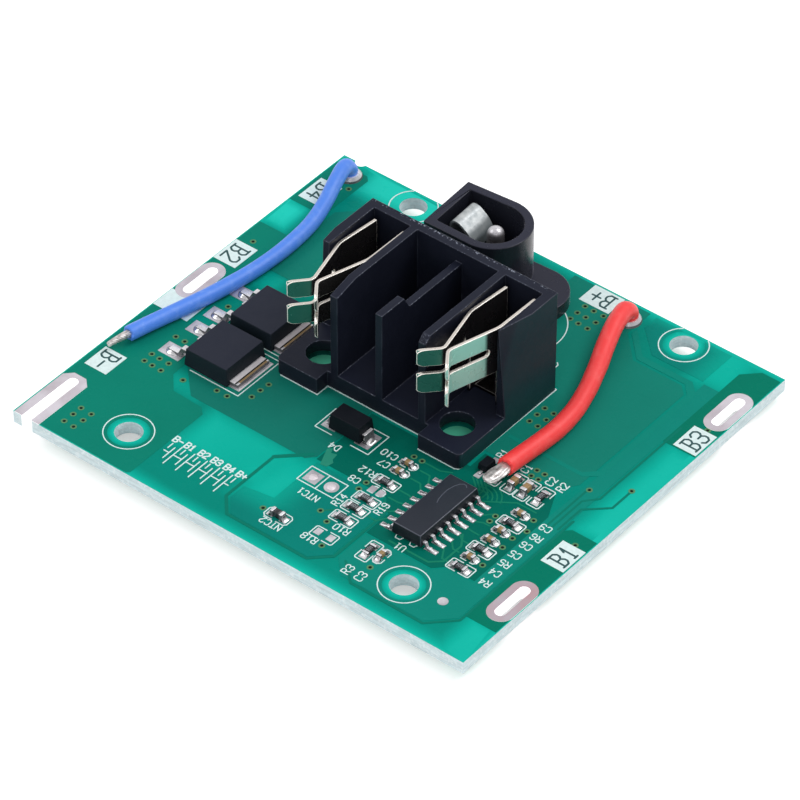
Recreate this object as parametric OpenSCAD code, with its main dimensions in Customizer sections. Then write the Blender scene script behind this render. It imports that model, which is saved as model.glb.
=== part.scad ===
// Battery management board: a circuit board with a two-blade terminal block, an
// upright power jack, two power transistors, a control chip and two soldered leads.
// Millimetres. X runs along the front edge, Y to the back, Z up. The origin is the
// middle of the board at the lowest solder joints, on which the board stands.

/* [Board] */
// Board width, left to right
board_w = 62; // [60:0.5:70]
// Board depth, front to back
board_d = 56.6; // [56:0.2:64]
// Board thickness
board_t = 1.6; // [1:0.1:2.4]
// Height of the solder joints under the board
joint_h = 1.2; // [0.8:0.1:1.8]
// Thickness of the tinned lands on the board
land_t = 0.06; // [0.04:0.01:0.1]
// Diameter of the four mounting holes
mount_d = 3.2; // [2.5:0.1:3.6]
// Spacing of the mounting holes across the board
mount_dx = 38; // [34:0.5:40]
// Spacing of the mounting holes front to back
mount_dy = 49; // [46:0.5:50]
// Distance of the front mounting holes from the front edge
mount_front = 5.25; // [4.5:0.05:5.6]
// Diameter of the round nick in the back edge
nick_d = 1.5; // [0.8:0.1:2]

/* [Battery tab slots] */
// Width of each slot for a battery tab
slot_w = 1.3; // [1:0.1:1.6]
// Length of the closed slots
slot_len = 5.3; // [4:0.1:6]
// Width of the tinned land round a slot
land_w = 3.1; // [2.6:0.1:3.4]
// Land left beyond each end of a closed slot
land_end = 0.85; // [0.5:0.05:1.2]
// Wall of the plating inside a slot
plating_t = 0.1; // [0.05:0.01:0.2]
// Length of the open slot at the front left corner
open_slot_len = 8.15; // [6:0.05:9]
// Length of the land round the open slot
open_land_len = 8.8; // [8:0.1:9.6]

/* [Terminal block] */
// Outer width of the block
block_w = 25.5; // [25:0.1:26.5]
// Depth of the block without its front lugs
block_d = 14.95; // [14.5:0.05:16]
// Height of the block's walls
block_h = 13.9; // [12:0.1:15]
// Thickness of the block's floor and lugs
floor_t = 2.1; // [1.6:0.1:2.6]
// Thickness of the two outer walls
outer_wall = 1.2; // [1:0.01:1.4]
// Thickness of the back wall
back_wall = 1.2; // [0.9:0.05:1.5]
// Thickness of the two inner walls
inner_wall = 1; // [0.7:0.05:1.1]
// Thickness of the middle rib
rib_t = 0.95; // [0.7:0.05:1.4]
// Distance of the middle rib from the block's middle
rib_x = 0.15; // [0:0.05:0.3]
// Width of each contact chamber
chamber_w = 5; // [5:0.05:5.3]
// Depth of the outer walls, which stop short of the front
outer_wall_d = 9; // [8.6:0.1:11]
// How far the lugs stand out in front of the block
lug_out = 1.85; // [1:0.05:2]
// Distance of each lug's inner side from the middle
lug_in_x = 7; // [6.6:0.1:7.4]
// Corner radius of the lugs
lug_r = 0.7; // [0.3:0.1:1.2]
// Diameter of the hole in each lug
lug_hole_d = 3.9; // [3:0.1:4.2]
// Distance of the lug holes from the middle
lug_hole_x = 9.3; // [9.2:0.01:9.6]
// Diameter of the hollow under each lug
lug_hollow_d = 5.2; // [4.4:0.1:5.6]
// Depth of the hollow under each lug
lug_hollow = 0.6; // [0.3:0.1:0.9]
// Drop of the rib behind its front post
rib_drop = 1.6; // [0.8:0.1:3]
// Depth of the rib's front post
post_d = 3.8; // [2.5:0.1:5]
// Run of the slope behind the post
post_slope = 0.9; // [0.4:0.1:1.5]
// Bevel on the front top corner of the inner walls
nose_bevel = 0.8; // [0.3:0.1:1.4]
// Run of that bevel on the left inner wall
nose_run_left = 3.2; // [0.8:0.1:4]
// Run of that bevel on the right inner wall
nose_run_right = 0.8; // [0.3:0.1:4]
// Distance of the block's middle from the left board edge
block_x = 30.82; // [30:0.01:31.5]
// Distance of the block's back face from the front board edge
block_y = 39.5; // [39:0.1:40]

/* [Spring contacts] */
// Sheet thickness of the contacts
sheet_t = 0.38; // [0.3:0.01:0.42]
// Height of the spring arms
arm_h = 6; // [5:0.1:7]
// Distance of the arms' top edge below the block's walls
arm_drop = 0.7; // [0.3:0.1:1.2]
// Height of the upper finger
finger_h = 2.3; // [1.8:0.1:2.6]
// Width of the slot between the fingers
finger_gap = 1; // [0.6:0.1:1.2]
// Corner radius of the finger tips
tip_r = 0.8; // [0.3:0.05:0.9]
// Clear gap between the two arms where they pinch a blade
pinch = 0.16; // [0.1:0.01:0.25]
// Width of a contact's solder legs
leg_w = 1; // [0.7:0.05:1.2]
// Room round a leg in the block's floor
leg_play = 0.08; // [0.05:0.01:0.15]
// Length of the legs that shows under the board
leg_out = 0.8; // [0.4:0.1:0.8]
// Diameter of the leg holes in the board
leg_hole_d = 1.6; // [1.4:0.1:1.8]

/* [Power jack] */
// Distance of the jack's pin from the left board edge
jack_x = 27.35; // [27:0.05:28]
// Distance of the jack's pin from the front board edge
jack_y = 49.55; // [49:0.05:50]
// Turn of the jack on the board
jack_turn = 2.5; // [0:0.5:4]
// Height of the jack above the board
jack_h = 8.5; // [7:0.1:12]
// Outer radius of the jack's round end
jack_r = 4.53; // [4.3:0.01:4.8]
// Distance of the jack's flat end from the pin
jack_back = 6.75; // [6.3:0.05:7.5]
// Distance of the round end's middle behind the pin
jack_mid = 0.35; // [0:0.05:0.5]
// Outer width of the flat end
jack_flat_w = 8.56; // [8:0.02:8.9]
// Wall of the jack
jack_wall = 1.05; // [0.8:0.05:1.3]
// Thickness of the jack's base
base_t = 1.75; // [1.2:0.05:2.4]
// Length of the base beyond the pin, to the middle of its round end
base_len = 5.3; // [4.5:0.1:6]
// Radius of the base's round end
base_r = 4; // [3.8:0.02:4.28]
// Diameter of the jack's pin
pin_d = 2; // [1.6:0.05:2.5]
// Distance of the pin's tip below the jack's rim
pin_drop = 0.45; // [0.3:0.05:2]
// Sheet thickness of the jack's spring
spring_t = 0.3; // [0.2:0.05:0.4]
// Width of the jack's spring
spring_w = 3.9; // [3:0.1:4.4]
// Diameter of the round solder tail under the pin
tail_d = 1.2; // [0.8:0.1:1.4]

/* [Power transistors] */
// Length of a transistor's body, leads to tab
fet_l = 6.1; // [5.8:0.1:6.4]
// Width of a transistor's body
fet_w = 6.6; // [6:0.1:6.9]
// Height of a transistor
fet_h = 2.3; // [1.8:0.1:2.8]
// Lead pitch, from one outer lead to the other
fet_pitch = 4.57; // [4:0.01:4.8]
// Width of a lead
fet_lead_w = 0.76; // [0.6:0.02:0.9]
// Thickness of the leads and the tab
fet_lead_t = 0.5; // [0.4:0.05:0.6]
// Width of the metal tab
fet_tab_w = 5.4; // [4.8:0.1:5.8]
// How far the tab stands out of the body
fet_tab_out = 1.05; // [0.7:0.05:1.2]
// Reach of the leads beyond the body
fet_reach = 2.75; // [2.5:0.05:2.85]
// Distance of both bodies' middle from the left board edge
fet_x = 12.55; // [12.5:0.05:12.9]
// Distance of the front transistor from the front board edge
fet_y = 20.6; // [20:0.1:20.8]
// Spacing of the two transistors
fet_step = 7.6; // [7.2:0.1:8]

/* [Control chip] */
// Length of the chip's body
chip_l = 9.9; // [9.4:0.1:10.4]
// Width of the chip's body
chip_w = 3.9; // [3.6:0.1:4.4]
// Height of the chip
chip_h = 1.6; // [1.2:0.1:2]
// Pitch of the chip's leads
chip_pitch = 1.27; // [1.1:0.01:1.3]
// Width over the tips of the leads
chip_span = 6; // [5.6:0.1:6.4]
// Width of a chip lead
chip_lead_w = 0.42; // [0.3:0.02:0.5]
// Number of leads on each side
chip_leads = 8; // [4:1:8]

/* [Small parts] */
// Length of the larger chip parts
big_l = 1.6; // [1.4:0.1:1.8]
// Width of the larger chip parts
big_w = 0.8; // [0.7:0.05:0.9]
// Height of the resistors
resistor_h = 0.45; // [0.35:0.05:0.5]
// Length of the smaller capacitors
small_l = 1.15; // [1:0.05:1.2]
// Width of the smaller capacitors
small_w = 0.6; // [0.5:0.05:0.7]
// Share of a chip part's length taken by each metal end
cap_share = 0.2; // [0.12:0.01:0.3]
// Thickness of the metal ends over the body
cap_t = 0.03; // [0.02:0.01:0.05]
// Length of the rectifier's body
rect_l = 4.3; // [4:0.1:4.6]
// Width of the rectifier's body
rect_w = 2.6; // [2.4:0.1:2.9]
// Height of the rectifier
rect_h = 2.2; // [1.8:0.1:2.5]
// Length of the small diode's body
diode_l = 1.7; // [1.5:0.1:1.9]
// Width of the small diode's body
diode_w = 1.25; // [1.1:0.05:1.4]
// Height of the small diode
diode_h = 0.95; // [0.8:0.05:1.1]

/* [Leads] */
// Diameter of the blue lead
blue_d = 2.4; // [2:0.1:2.4]
// Diameter of the red lead
red_d = 2.5; // [2:0.1:2.5]
// Diameter of the blue lead's bare end
bare_d = 1; // [0.6:0.1:1.4]
// Length of the blue lead's bare end
bare_l = 3.1; // [2:0.1:3.4]
// Width of the red lead's flattened bare end
flat_w = 1.5; // [1:0.1:1.8]
// Thickness of the red lead's flattened bare end
flat_t = 0.9; // [0.6:0.1:1.2]
// Length of the red lead's bare end
flat_l = 3.3; // [2:0.1:3.4]
// Height of the solder under a lead
dome_h = 0.6; // [0.4:0.1:0.6]
// How far the solder spreads past a lead
dome_out = 0.3; // [0.1:0.05:0.4]
// Diameter of the lead holes in the board
lead_hole_d = 1.6; // [1.2:0.1:1.8]

/* [Hidden] */
$fn = 40;
eps = 0.01;
fill_gap = 0.02;

// Middle of each mounting hole, from the front left corner of the board
mount_x0 = (board_w - mount_dx) / 2;
mount_points = [for (i = [0, 1], j = [0, 1]) [mount_x0 + i * mount_dx, mount_front + j * mount_dy]];
nick_x = 2.35;

// Closed slots: distance from the side edge and the middle's distance from the front
slot_edge = 1.65;
slot_1 = [board_w - slot_edge, 10.35];
slot_2 = [slot_edge, 29.3];
slot_3 = [board_w - slot_edge, 48.35];
open_slot_x = 1.95;
open_land_w = 3.5;
open_land_cut = 0.9;

// Terminal block, from the middle of its back face
half_w = block_w / 2;
inner_x = half_w - outer_wall - chamber_w;
chamber_x = half_w - outer_wall - chamber_w / 2;
lug_hole_y = -12.8;
block_front = -block_d;
lug_front = block_front - lug_out;
post_back = block_front + post_d;
worn_right = [1.1, 4.5];
worn_left = [0.35, 2.4];

// Spring contacts: centre lines of the two arms, seen from above, from the middle of
// the chamber at the block's back face
arm_top = block_h - arm_drop;
arm_low = arm_top - arm_h;
pinch_x = (pinch + sheet_t) / 2;
pinch_left = -0.28;
pinch_right = -0.42;
arms_left = [[[-1.65, -2], [-2.24, -7.5], [pinch_left - pinch_x, -14.05], [-2.5, -16.2]],
    [[2.06, -1.7], [2, -7.7], [pinch_left + pinch_x, -14.1], [1.65, -16.3]]];
arms_right = [[[-1.72, -2], [-2.24, -7.5], [pinch_right - pinch_x, -14.05], [-2.75, -16.2]],
    [[1.92, -1.7], [1.8, -7.7], [pinch_right + pinch_x, -14.1], [1.45, -16.3]]];
bend_r = 0.5;
tip_y = -16.4;
slot_end_y = -9.6;
plate_y = -7.9;
leg_y = [-6.3, -3.2];
foot_y = [-6.9, -2.6];

// Jack, from the pin's axis
spring_low = -4.75;
spring_top = jack_h - 0.45;
spring_bend = 0.3;
spring_tip = -pin_d / 2 - 0.75;
spring_path = [[spring_low, base_t], [spring_low, spring_top - 0.6], [spring_low + 0.35, spring_top],
    [spring_low + 1.1, spring_top - 0.05], [spring_tip - 0.7, spring_top - 0.95], [spring_tip - 0.1, spring_top - 1.9],
    [spring_tip, spring_top - 3.1]];
base_back = jack_back;

// Small parts: number, place from the front left corner, and turn
resistors = [
    ["resistor_1", 47.4, 24.7, 90],
    ["resistor_2", 53, 24.7, 90],
    ["resistor_3", 44, 6.9, 90],
    ["resistor_4", 53, 10.8, 0],
    ["resistor_5", 53, 14.35, 0],
    ["resistor_6", 53, 19.5, 0],
    ["resistor_10", 38.65, 9, 0],
    ["resistor_12", 38.7, 16.2, 0],
    ["resistor_14", 38.65, 11, 0],
    ["resistor_19", 38.7, 12.85, 0]
];
large_capacitors = [
    ["capacitor_1", 49.4, 24.7, 90],
    ["capacitor_2", 51.1, 24.7, 90]
];
small_capacitors = [
    ["capacitor_3", 45.5, 7.1, 90],
    ["capacitor_4", 52.9, 12.7, 0],
    ["capacitor_5", 52.9, 16.1, 0],
    ["capacitor_6", 52.9, 17.9, 0],
    ["capacitor_7", 38.7, 18.4, 0],
    ["capacitor_9", 52.9, 21.3, 0],
    ["capacitor_10", 38.7, 20, 0]
];
thermistor = ["thermistor_2", 33.1, 5, 0];
chip_at = [46, 15.53];
rect_at = [30.6, 20.35];
diode_at = [45.55, 24.9];
blue_pad = [2.9, 54];
red_pad = [42.7, 53.85];

// Centre lines of the leads, chosen by hand, from the front left corner at the board's top
blue_route = [[2.9, 54, 0.6], [2.9, 54, 0.8], [2.9, 54, 1.3], [3, 53.3, 2.3], [3.4, 51.9, 2.6], [4, 50, 2.4],
    [4.8, 47.6, 2], [5.6, 44.6, 1.6], [6, 41.5, 1.4], [6.1, 38.2, 1.3], [6, 35, 1.3],
    [5.6, 31.6, 1.3], [4.95, 28, 1.3], [4.1, 24.4, 1.3], [3.1, 20.5, 1.35], [2.2, 16.5, 1.45]];
red_route = [[42.7, 53.85, 0.6], [42.7, 53.85, 0.8], [42.7, 53.85, 1.4], [42.75, 53.1, 2.5], [43, 51.8, 2.8],
    [43.6, 49.6, 2.6], [44.6, 46.9, 2.1], [45.8, 44, 1.7], [46.9, 41, 1.5], [47.7, 38.2, 1.4],
    [48.2, 35.4, 1.4], [48.3, 32.4, 1.4], [48.15, 29, 1.6], [48, 24.9, 1.9]];
route_steps = 2;
tube_sides = 8;

// ---- Shapes used by several parts

// Puts children in the frame of the board's front left corner, at the board's top face
module on_board() {
    translate([-board_w / 2, -board_d / 2, joint_h + board_t]) children();
}

// A stadium with its long axis on Y
module stadium(width, length) {
    square([width, length - width], center = true);
    for (side = [-1, 1]) translate([0, side * (length - width) / 2]) circle(d = width);
}

function unit(v) = v / norm(v);
function left_of(v) = [-v[1], v[0]];
function heading(p, i) = unit(p[i + 1] - p[i]);
// Offset direction of a thin strip at point i, mitred where the strip turns
function mitre(p, i) =
    i == 0 ? left_of(heading(p, 0)) :
    i == len(p) - 1 ? left_of(heading(p, i - 1)) :
    let (a = left_of(heading(p, i - 1)), b = left_of(heading(p, i))) (a + b) / (1 + a * b);
// Outline of a strip of sheet seen edge on
function strip(p, t) = concat(
    [for (i = [0:len(p) - 1]) p[i] + mitre(p, i) * t / 2],
    [for (i = [len(p) - 1:-1:0]) p[i] - mitre(p, i) * t / 2]);
// The same line with each inner corner rounded by a short curve
function bent(p, r) = concat([p[0]],
    [for (i = [1:len(p) - 2]) let (a = p[i] - heading(p, i - 1) * r, b = p[i] + heading(p, i) * r)
        for (s = [0, 0.33, 0.67, 1]) a * (1 - s) * (1 - s) + p[i] * 2 * s * (1 - s) + b * s * s],
    [p[len(p) - 1]]);

// Draws a profile given in X and Z, as wide as asked along Y
module across(width) {
    rotate([90, 0, 0]) linear_extrude(width, center = true) children();
}

// A moulded body with all four sides drafted: base size, height and inset of the top
module moulded(size, inset) {
    intersection() {
        across(size[1] + 1) polygon([[-size[0] / 2, 0], [size[0] / 2, 0],
            [size[0] / 2 - inset, size[2]], [-size[0] / 2 + inset, size[2]]]);
        rotate([0, 0, 90]) across(size[0] + 1) polygon([[-size[1] / 2, 0], [size[1] / 2, 0],
            [size[1] / 2 - inset, size[2]], [-size[1] / 2 + inset, size[2]]]);
    }
}

// ---- Circuit board and its lands

module closed_slot(at, extra) {
    translate(at) stadium(slot_w + extra, slot_len + extra);
}

module open_slot(extra) {
    translate([open_slot_x, 0]) {
        translate([-(slot_w + extra) / 2, -eps])
            square([slot_w + extra, open_slot_len - slot_w / 2 + eps]);
        translate([0, open_slot_len - slot_w / 2]) circle(d = slot_w + extra);
    }
}

function arm_x(arm, y) = arm[0][0] + (arm[1][0] - arm[0][0]) * (y - arm[0][1]) / (arm[1][1] - arm[0][1]);
function arms(side) = side < 0 ? arms_left : arms_right;
function leg_points() = [for (side = [-1, 1]) for (arm = arms(side)) for (y = leg_y)
    [block_x + side * chamber_x + arm_x(arm, y), block_y + y]];
function jack_point(p) = [jack_x, jack_y]
    + [p[0] * cos(jack_turn) - p[1] * sin(jack_turn), p[0] * sin(jack_turn) + p[1] * cos(jack_turn)];
header_points = [[32.1, 12.1], [34.6, 12.1]];
header_hole_d = 0.9;
jack_tails = [jack_point([0, 0]), jack_point([spring_low, 0])];

module circuit_board() {
    color("#0f8a72") on_board() difference() {
        translate([0, 0, -board_t]) cube([board_w, board_d, board_t]);
        translate([0, 0, -board_t - eps]) linear_extrude(board_t + 2 * eps) {
            for (at = mount_points) translate(at) circle(d = mount_d);
            for (at = [slot_1, slot_2, slot_3]) closed_slot(at, 2 * plating_t);
            open_slot(2 * plating_t);
            for (at = leg_points()) translate(at) circle(d = leg_hole_d);
            for (at = jack_tails) translate(at) circle(d = tail_d + 0.4);
            for (at = [blue_pad, red_pad]) translate(at) circle(d = lead_hole_d);
            for (at = header_points) translate(at) circle(d = header_hole_d);
            translate([nick_x, board_d + 0.15]) circle(d = nick_d);
        }
    }
}

// Land on both faces with the plating through the slot
module plated_slot() {
    translate([0, 0, 0]) linear_extrude(land_t) children(0);
    translate([0, 0, -board_t - land_t]) linear_extrude(land_t) children(0);
    translate([0, 0, -board_t - land_t]) linear_extrude(board_t + 2 * land_t) children(1);
}

module closed_tab_land(at) {
    color("#cfc9d2") on_board() plated_slot() {
        difference() {
            translate(at) stadium(land_w, slot_len + 2 * land_end);
            closed_slot(at, 0);
        }
        difference() {
            closed_slot(at, 2 * plating_t);
            closed_slot(at, 0);
        }
    }
}

module tab_land_minus() {
    x0 = open_slot_x - open_land_w / 2;
    x1 = x0 + open_land_w;
    color("#cfc9d2") on_board() plated_slot() {
        difference() {
            polygon([[x0, 0], [x1, 0], [x1, open_land_len - open_land_cut],
                [x1 - open_land_cut, open_land_len], [x0 + open_land_cut, open_land_len],
                [x0, open_land_len - open_land_cut]]);
            open_slot(0);
        }
        difference() {
            intersection() {
                open_slot(2 * plating_t);
                square([board_w, board_d]);
            }
            open_slot(0);
        }
    }
}

// One tinned land, given by its middle and size
module land(at, size) {
    translate([at[0], at[1], 0]) linear_extrude(land_t) square(size, center = true);
}

// The two lands of a chip part of the given length and width
module chip_lands(part, length, width) {
    reach = length * (1 - cap_share) + 0.5;
    translate([part[1], part[2], 0]) rotate([0, 0, part[3]])
        for (side = [-1, 1]) land([side * reach / 2, 0], [length * cap_share + 0.55, width + 0.15]);
}

chip_land_l = 1.6;
chip_land_x = 3.775 - chip_land_l / 2;

module solder_lands() {
    color("#d6d2d8") on_board() {
        for (part = resistors) chip_lands(part, big_l, big_w);
        for (part = large_capacitors) chip_lands(part, big_l, big_w);
        for (part = small_capacitors) chip_lands(part, small_l, small_w);
        chip_lands(thermistor, big_l, big_w);
        for (side = [-1, 1]) for (i = [0:chip_leads - 1])
            land([chip_at[0] + side * chip_land_x, chip_at[1] + (i - (chip_leads - 1) / 2) * chip_pitch],
                [chip_land_l, chip_lead_w + 0.16]);
        for (i = [0, 1]) translate([fet_x, fet_y + i * fet_step, 0]) {
            for (side = [-1, 1]) land([-5.4, side * fet_pitch / 2], [2.9, 2]);
            land([fet_l / 2 - 0.85, 0], [4.6, fet_tab_w + 0.5]);
        }
        for (side = [-1, 1]) land([rect_at[0] + side * 2.3, rect_at[1]], [1.9, 2.5]);
        for (side = [-1, 1]) land([diode_at[0], diode_at[1] + side * 1.4], [0.75, 1]);
        for (at = [[38.2, 14.6], [39.3, 14.6], [37.9, 5.9], [39.6, 5.9]]) land(at, [0.8, 0.95]);
        difference() {
            union() {
                land(header_points[0], [1.75, 1.75]);
                translate(header_points[1]) cylinder(d = 1.67, h = land_t);
            }
            for (at = header_points) translate([at[0], at[1], -eps]) cylinder(d = header_hole_d, h = 1);
        }
        translate([54.73, 5.8, 0]) cylinder(d = 1.18, h = land_t);
    }
}

module tab_land_1() closed_tab_land(slot_1);
module tab_land_2() closed_tab_land(slot_2);
module tab_land_3() closed_tab_land(slot_3);

// ---- Terminal block and its contacts

// Floor outline of one side, from the middle to the outer wall, with its rounded lug
module floor_side() {
    translate([0, block_front]) square([half_w, block_d]);
    translate([lug_in_x, lug_front]) square([half_w - lug_in_x - lug_r, lug_out + eps]);
    translate([lug_in_x, lug_front + lug_r]) square([half_w - lug_in_x, lug_out - lug_r + eps]);
    translate([half_w - lug_r, lug_front + lug_r]) circle(lug_r);
}

// An inner wall seen from the side, in Y and Z, with its front top corner bevelled
module inner_wall_side(run) {
    polygon([[block_front, 0], [block_front, block_h - nose_bevel], [block_front + run, block_h],
        [0, block_h], [0, 0]]);
}

module rib_side() {
    polygon([[block_front, 0], [block_front, block_h], [post_back, block_h],
        [post_back + post_slope, block_h - rib_drop], [0, block_h - rib_drop], [0, 0]]);
}

// Draws a profile given in Y and Z as a wall of the given thickness, from x outwards
module wall(x, thickness) {
    translate([x, 0, 0]) rotate([90, 0, 90]) linear_extrude(thickness) children();
}

// An outer wall whose front top edge is worn in by worn[0] over a depth of worn[1]
module outer_wall_piece(worn) {
    difference() {
        translate([half_w - outer_wall, -outer_wall_d, 0]) cube([outer_wall, outer_wall_d, block_h]);
        translate([half_w, worn[1] - outer_wall_d, block_h])
            rotate([0, -atan(worn[0] / (block_h - floor_t)), -atan(worn[0] / worn[1])])
            translate([0, -2 * worn[1], -(block_h - floor_t)]) cube([3, 4 * worn[1], 2 * block_h]);
    }
}

module leg_slots() {
    for (side = [-1, 1]) translate([side * chamber_x, 0, -eps])
        intersection() {
            linear_extrude(floor_t + 2 * eps) for (arm = arms(side))
                polygon(strip(arm, sheet_t + 2 * leg_play));
            for (y = leg_y) translate([-half_w, y - leg_w / 2 - leg_play, -eps])
                cube([block_w, leg_w + 2 * leg_play, floor_t + 4 * eps]);
        }
}

module terminal_block() {
    color("#1e2130") on_board() translate([block_x, block_y, 0]) difference() {
        union() {
            linear_extrude(floor_t) {
                floor_side();
                mirror([1, 0]) floor_side();
            }
            translate([-half_w, -back_wall, 0]) cube([block_w, back_wall, block_h]);
            outer_wall_piece(worn_right);
            mirror([1, 0, 0]) outer_wall_piece(worn_left);
            wall(inner_x - inner_wall, inner_wall) inner_wall_side(nose_run_right);
            mirror([1, 0, 0]) wall(inner_x - inner_wall, inner_wall) inner_wall_side(nose_run_left);
            wall(rib_x - rib_t / 2, rib_t) rib_side();
        }
        for (side = [-1, 1]) translate([side * lug_hole_x, lug_hole_y, -eps]) {
            cylinder(d = lug_hole_d, h = floor_t + 2 * eps);
            cylinder(d = lug_hollow_d, h = lug_hollow + eps);
        }
        leg_slots();
    }
}

// Side view of one finger, from the slot's end to its rounded tip
module finger_side(low, high) {
    translate([tip_y + tip_r, low]) square([plate_y - tip_y - tip_r + eps, high - low]);
    translate([tip_y, low + tip_r]) square([tip_r + eps, high - low - 2 * tip_r]);
    for (z = [low + tip_r, high - tip_r]) translate([tip_y + tip_r, z]) circle(tip_r);
}

// Side view of a contact: fingers in front, plate behind, legs below
module contact_side() {
    upper_low = arm_top - finger_h;
    difference() {
        union() {
            finger_side(upper_low, arm_top);
            finger_side(arm_low, upper_low - finger_gap);
            translate([slot_end_y, arm_low]) square([plate_y - slot_end_y + eps, arm_h]);
        }
        translate([slot_end_y, upper_low - finger_gap / 2]) circle(d = finger_gap);
    }
    translate([plate_y, floor_t]) square([-plate_y, arm_top - floor_t]);
    for (y = leg_y) translate([y - leg_w / 2, -board_t - leg_out])
        square([leg_w, floor_t + board_t + leg_out + eps]);
}

module contact(side) {
    height = arm_top + board_t + leg_out;
    color("#cfc7bd") on_board() translate([block_x + side * chamber_x, block_y, 0]) {
        intersection() {
            translate([0, 0, -board_t - leg_out]) linear_extrude(height) {
                for (arm = arms(side)) polygon(strip(bent(arm, bend_r), sheet_t));
            }
            wall(-half_w, block_w) contact_side();
        }
        translate([0, 0, floor_t]) linear_extrude(sheet_t)
            polygon([for (at = [[0, 0], [1, 0], [1, 1], [0, 1]])
                [arm_x(arms(side)[at[0]], foot_y[at[1]]), foot_y[at[1]]]]);
    }
}

module contact_left() contact(-1);
module contact_right() contact(1);

// ---- Power jack

// Outline of the jack, flat at -X and round at +X, shrunk by the given inset
module jack_outline(inset) {
    polygon([[-jack_back + inset, jack_flat_w / 2 - inset], [-jack_mid, jack_r - inset],
        [-jack_mid, inset - jack_r], [-jack_back + inset, inset - jack_flat_w / 2]]);
    translate([-jack_mid, 0]) circle(jack_r - inset);
}

module jack_place() {
    on_board() translate([jack_x, jack_y, 0]) rotate([0, 0, jack_turn]) children();
}

module jack_housing() {
    color("#262838") jack_place() difference() {
        union() {
            linear_extrude(jack_h) jack_outline(0);
            linear_extrude(base_t) {
                translate([-base_back, -base_r]) square([base_back + base_len, 2 * base_r]);
                translate([base_len, 0]) circle(base_r);
            }
        }
        translate([0, 0, base_t]) linear_extrude(jack_h) jack_outline(jack_wall);
        translate([0, 0, -eps]) cylinder(d = tail_d + 2 * leg_play, h = base_t + 2 * eps);
        translate([spring_low, 0, base_t / 2])
            cube([spring_t + 2 * leg_play, leg_w + 2 * leg_play, base_t + 2 * eps], center = true);
    }
}

module jack_pin() {
    shank = jack_h - pin_drop - pin_d / 2;
    color("#c9c6c8") jack_place() {
        translate([0, 0, base_t]) cylinder(d = pin_d, h = shank - base_t);
        translate([0, 0, shank]) sphere(d = pin_d);
        translate([0, 0, -board_t - leg_out]) cylinder(d = tail_d, h = base_t + board_t + leg_out + eps);
    }
}

module jack_spring() {
    color("#d2cfd0") jack_place() {
        across(spring_w) polygon(strip(bent(spring_path, spring_bend), spring_t));
        translate([spring_low - spring_t / 2, -leg_w / 2, -board_t - leg_out])
            cube([spring_t, leg_w, base_t + board_t + leg_out + eps]);
    }
}

// ---- Power transistors

module fet_place(i) {
    on_board() translate([fet_x, fet_y + i * fet_step, land_t]) children();
}

// The metal slug under the body, which comes out as the tab
module fet_slug() {
    translate([-1.6, -fet_tab_w / 2, 0]) cube([fet_l / 2 + 1.6 + fet_tab_out, fet_tab_w, fet_lead_t]);
}

module fet_body(i) {
    color("#2a2c3a") fet_place(i) difference() {
        moulded([fet_l, fet_w, fet_h], 0.18);
        fet_slug();
    }
}

module fet_leads(i) {
    exit_z = 1.2;
    face = -fet_l / 2 + 0.18 * (exit_z - fet_lead_t / 2) / fet_h;
    tip = -fet_l / 2 - fet_reach;
    lead = [[face, exit_z], [-fet_l / 2 - 0.75, exit_z],
        [-fet_l / 2 - 1.25, fet_lead_t / 2], [tip, fet_lead_t / 2]];
    color("#c8c3c9") fet_place(i) {
        fet_slug();
        for (side = [-1, 1]) translate([0, side * fet_pitch / 2, 0])
            across(fet_lead_w) polygon(strip(lead, fet_lead_t));
        translate([-fet_l / 2 - 0.6, -fet_lead_w / 2, exit_z - fet_lead_t / 2])
            cube([0.6 + fet_l / 2 + face, fet_lead_w, fet_lead_t]);
    }
}

module transistor_front_body() fet_body(0);
module transistor_front_leads() fet_leads(0);
module transistor_rear_body() fet_body(1);
module transistor_rear_leads() fet_leads(1);

// ---- Control chip

module chip_place() {
    on_board() translate([chip_at[0], chip_at[1], land_t]) children();
}

chip_lead_t = 0.2;
chip_mid_z = 0.75;
chip_foot = 0.15;

module control_chip_body() {
    top_inset = 0.25;
    color("#232431") chip_place() {
        translate([0, 0, chip_mid_z]) moulded([chip_w, chip_l, chip_h - chip_mid_z], top_inset / 2);
        translate([0, 0, chip_foot]) translate([-chip_w / 2, -chip_l / 2, 0])
            cube([chip_w, chip_l, chip_mid_z - chip_foot]);
    }
}

module control_chip_leads() {
    tip = chip_span / 2;
    lead = [[chip_w / 2, chip_mid_z - chip_lead_t / 2], [chip_w / 2 + 0.3, chip_mid_z - chip_lead_t / 2],
        [chip_w / 2 + 0.5, chip_lead_t / 2], [tip, chip_lead_t / 2]];
    color("#d5d1d6") chip_place()
        for (side = [0, 180]) rotate([0, 0, side]) for (i = [0:chip_leads - 1])
            translate([0, (i - (chip_leads - 1) / 2) * chip_pitch, 0])
            across(chip_lead_w) polygon(strip(lead, chip_lead_t));
}

// ---- Rectifier and small diode

module rect_place() {
    on_board() translate([rect_at[0], rect_at[1], land_t]) children();
}

rect_lead_t = 0.2;
rect_lead_w = 1.45;

module rectifier_body() {
    color("#242632") rect_place() translate([0, 0, rect_lead_t])
        moulded([rect_l, rect_w, rect_h - rect_lead_t], 0.15);
}

module rectifier_leads() {
    mid = rect_h / 2;
    face = rect_l / 2 - 0.15 * (mid - rect_lead_t - rect_lead_t / 2) / (rect_h - rect_lead_t);
    lead = [[face, mid], [rect_l / 2 + 0.25, mid], [rect_l / 2 + 0.4, rect_lead_t / 2],
        [rect_l / 2 - 0.9, rect_lead_t / 2]];
    color("#cdc8cd") rect_place() for (side = [0, 180]) rotate([0, 0, side])
        across(rect_lead_w) polygon(strip(lead, rect_lead_t));
}

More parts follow.
